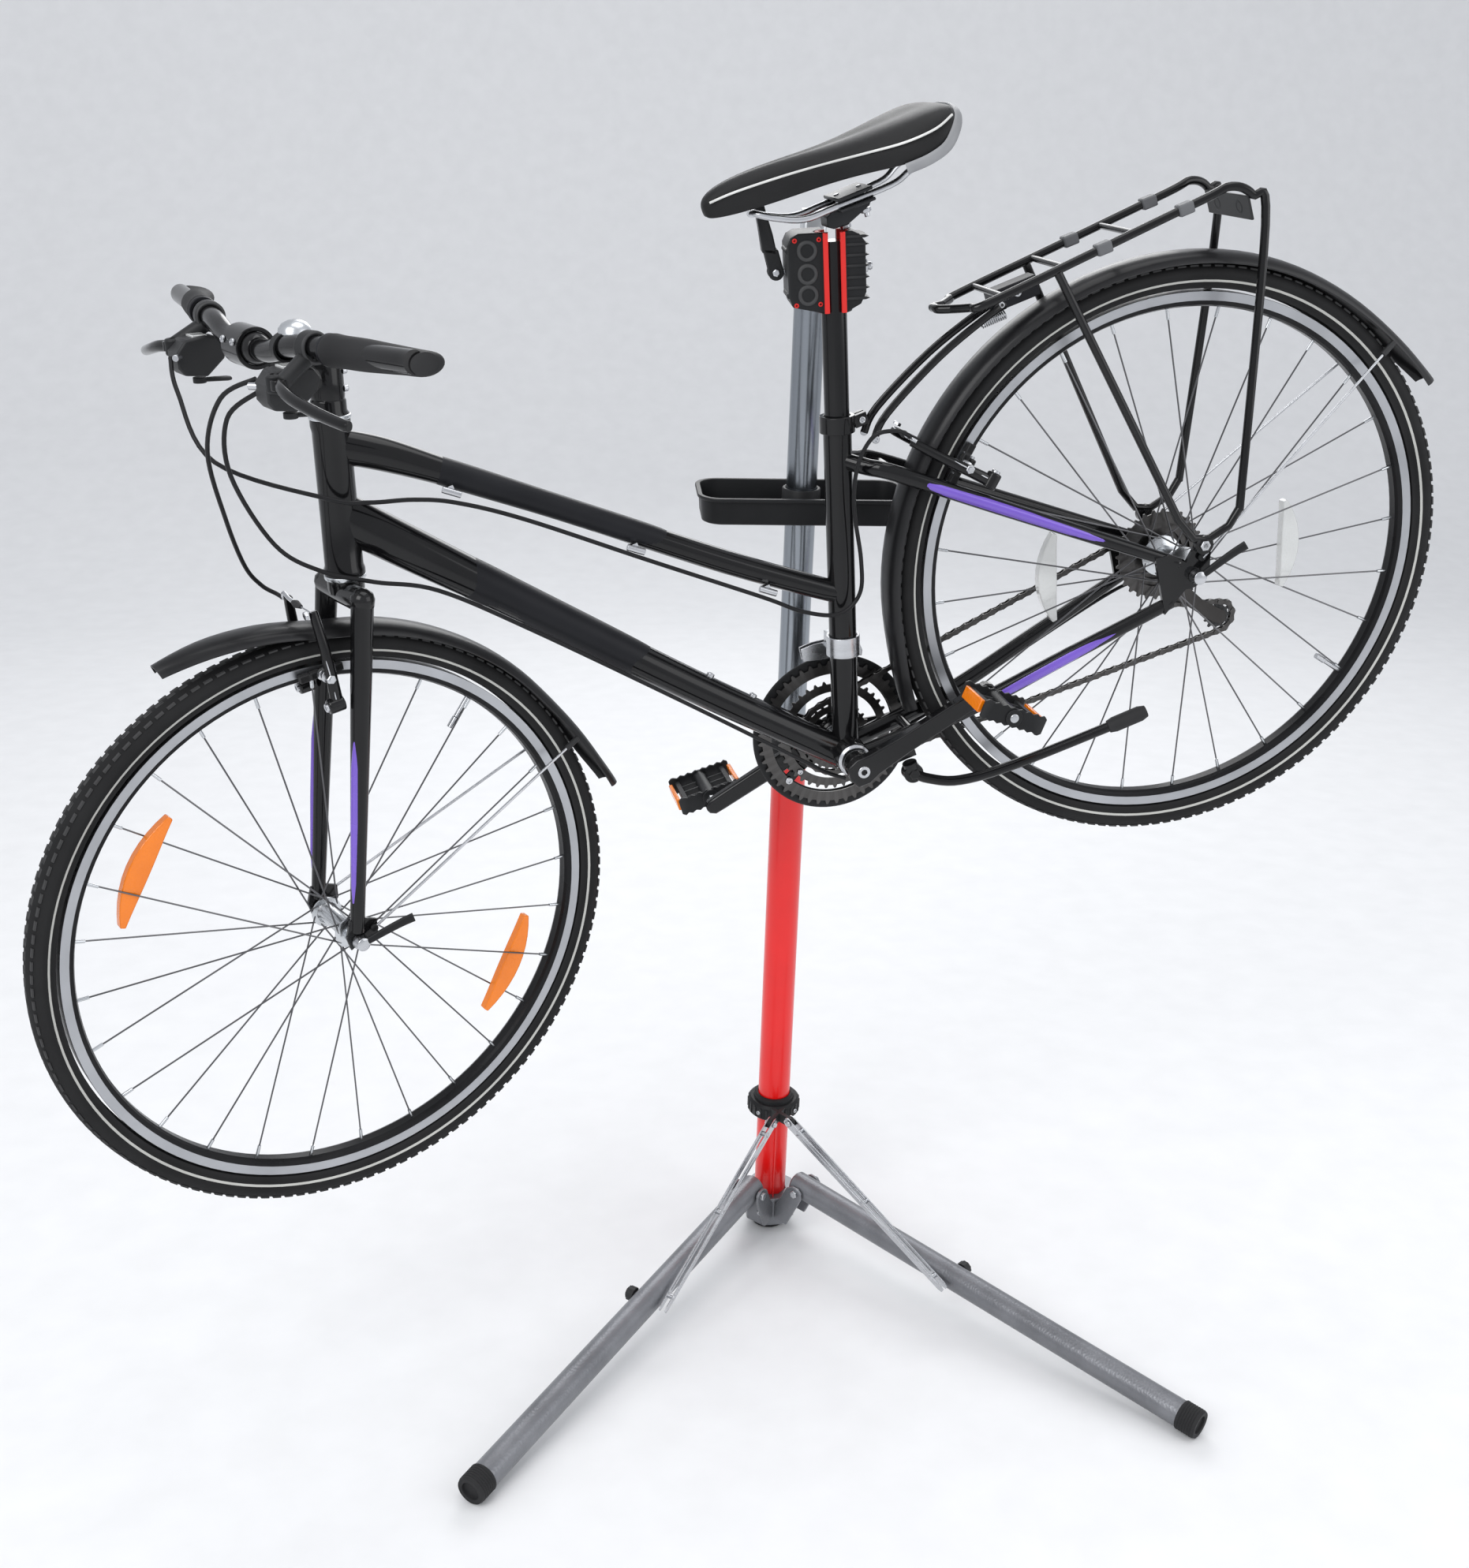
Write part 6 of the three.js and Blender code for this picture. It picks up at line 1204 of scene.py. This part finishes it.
for side, s in (("left", -1), ("right", 1)):
    def on_bar(t):
        bend, end = Vector((-71, s * 108, 668)), Vector((-40, s * 293, 673))
        return bend + (end - bend).normalized() * t

    grip_stations = [(59.7, 14.6, 14.6, 0), (64, 16.4, 16, 0), (80, 15.6, 15.2, 1), (110, 15.8, 15, 3),
                     (140, 18, 13.4, 8),
                     (165, 21, 11.8, 13), (182, 20, 11.4, 14), (190, 14, 10.4, 9)]
    loops = []
    for t, wide, high, back in [tuple(v) for v in smooth([Vector(g) for g in grip_stations], 4)]:
        loops.append([on_bar(t) + Vector((back + wide * cos(2 * pi * k / 28), 0,
                                          high * sin(2 * pi * k / 28) - back * 0.25))
                      for k in range(28)])
    piece(f"grip_rubber_{side}", "steering_unit", front, [stacked(loops)], rubber,
          [f"grip_{side}"], edge=0)
    ring_at = on_bar(58)
    piece(f"grip_ring_{side}", "steering_unit", front, [turned([(11.6, -4), (15, -4), (15.6, -2), (15.6,
            2), (15, 4), (11.6, 4)], ring_at,
          on_bar(10) - on_bar(0), closed=True)], satin_panel)

    # Shifter pod, brake bracket, lever and trigger on each side.
    way = (on_bar(10) - on_bar(0)).normalized()
    pod_outline = [(-116, 622), (-110, 614), (-86, 611), (-66, 628), (-61, 640), (-68, 650), (-84, 653),
                   (-106, 650), (-116, 638)]
    bracket_parts = [plate(pod_outline, *sorted((s * 104, s * 135.4))),
                     turned([(11.4, 18), (16, 18), (16, 34), (11.4, 34)], on_bar(0), way, closed=True),
                     pipe([on_bar(26) + Vector((-6, 0, -8)), Vector((-105, s * 146, 641))], [8.5, 7.5],
                          20),
                     turned([(4, -9), (8.6, -9), (8.6, -6), (8.6, 6), (8.6, 9), (4, 9)], (-108, s * 137,
                             640), (0, 0, 1), 24)]
    piece(f"shift_pod_{side}", "steering_unit", front, bracket_parts, black_plastic,
          [f"shifter_{side}"], edge=2.4)
    piece(f"shift_window_{side}", "steering_unit", front, [brick(-96, -80, *sorted((s * 110, s * 130)),
            650.6, 653.6)], clear_lens,
          edge=0.8)
    piece(f"pod_screws_{side}", "steering_unit", front, [socket_bolt((-74, s * 112, 644), (0.8, 0, 0.6),
            3, 3),
          socket_bolt((-74, s * 128, 644), (0.8, 0, 0.6), 3, 3), pipe([(-120, s * 100, 634), (-112,
                  s * 108, 634)], 3.6, 14)], steel)
    lever_route = smooth([(-108, s * 146, 640), (-113, s * 166, 638), (-113, s * 190, 633), (-107,
            s * 226, 626), (-99, s * 258, 620.5),
                          (-95, s * 268, 619)], 5)
    lever_sizes = [(4.6 + 1.4 * sin(pi * i / 25), 6.4 - 0.05 * i) for i in range(26)]
    piece(f"brake_lever_{side}", f"{side}_brake_lever", front, [pipe(lever_route, lever_sizes, 18),
          turned([(0, -5), (8, -5), (8, 5), (0, 5)], (-108, s * 146, 640), (0, 0, 1))], black_paint,
          [f"lever_{side}"], edge=0.8)
    at = Vector(joint[f"trigger_{side}_push"]["pos_m"])
    trig = Matrix.Translation(at) @ front.to_3x3().to_4x4()
    piece(f"shift_trigger_{side}", f"{side}_trigger", trig, [turned([(0, -3), (7, -3), (7, 3), (0, 3)],
            axis=(0, 0, 1)),
          pipe([(0, 0, 0), (16, 0, -0.6), (30, 0, -1.4), (34, 0, -1.6)], [(4, 2.4), (5.4, 2.6),
                  (6.2, 2.6), (4, 2)], 16)],
          black_plastic, [f"trigger_{side}"])
bell_at = Vector((-62, -84, 676))
piece("bell_dome", "steering_unit", front, [turned([(0, 13), (6, 12.2), (12, 9.4), (15.5, 5), (16.6, 0),
                                                    (15.8, 0), (14, 3), (0, 5)],
      bell_at, (0, 0, 1), sides=48)], alloy, edge=0)
piece("bell_clamp", "steering_unit", front, [turned([(11.6, -5), (14.4, -5), (14.4, 5), (11.6, 5)],
                                                    (-73.5, -84, 663.4), (0, 1, 0.05),
      closed=True), pipe([bell_at - Vector((8, 0, 2)), bell_at + Vector((0, 0, 6))], 4, 14)],
      black_plastic)

# ---------------------------------------------------------------- bicycle: cables
# Black housings run from the levers and pods to the brakes and changers. The two that cross the
# steering are fixed in place and ride on no body.


def from_front(x, y, z):
    return bike.inverted() @ (front @ Vector((x, y, z)))


housing = finish("cable_housing", (0.012, 0.012, 0.013), 0.36, uneven=0.1, grain=1500, bump=0.12)
back_brake = [from_front(-119, 118, 632), from_front(-130, 76, 604), from_front(-120, 20, 540), (-430,
        -34, 520), (-394, -30, 500),
              (-351, -25, 484), (-311, -22, 463), (-250, -20, 417), (-140, -20, 320), (-36, -22, 230),
              (2, -26, 196), (40, -28, 177),
              (70, -28, 190), (84, -28, 228), (94, -32, 290), (110, -42, 336), (134, -54, 364), (158,
                      -58, 362), (172, -50, 350),
              (176, -41.5, 344)]
gears = [from_front(-112, -102, 628), from_front(-134, -70, 600), from_front(-130, -50, 540), (-500, -44,
        500), (-470, -38, 455),
         (-424, -32, 420), (-366, -30, 384), (-290, -30, 302), (-160, -29, 148), (-60, -28, 26), (-36,
                 -26, -4), (-16, -22, -24)]
for name, route, node in (("rear_brake_housing", back_brake, "cable_brake_rear"), ("gear_housing", gears,
        "cable_shift")):
    run = piece(name, None, bike, [pipe(smooth(route, 8), 2.4, 12)], housing, [node],
                edge=0)
    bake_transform(run)
front_brake = [(-112, -100, 640), (-138, -70, 620), (-140, -20, 560), (-116, 20, 480), (-92, 48, 420),
               (-74, 54, 394), (-60, 48, 383),
               (-57, 40, 380)]
piece("front_brake_housing", "steering_unit", front, [pipe(smooth(front_brake, 8), 2.4, 12)], housing,
      ["cable_brake_front"], edge=0)
rear_gear = [(-16, 20, -26), (30, 26, -24), (120, 34, -14), (250, 48, 6), (380, 62, 24), (430, 70, 22),
             (476, 80, 8), (500, 84, -14),
             (496, 80, -22)]
piece("rear_gear_housing", "bicycle", bike, [pipe(smooth(rear_gear, 8), 2.3, 12)], housing,
      edge=0)
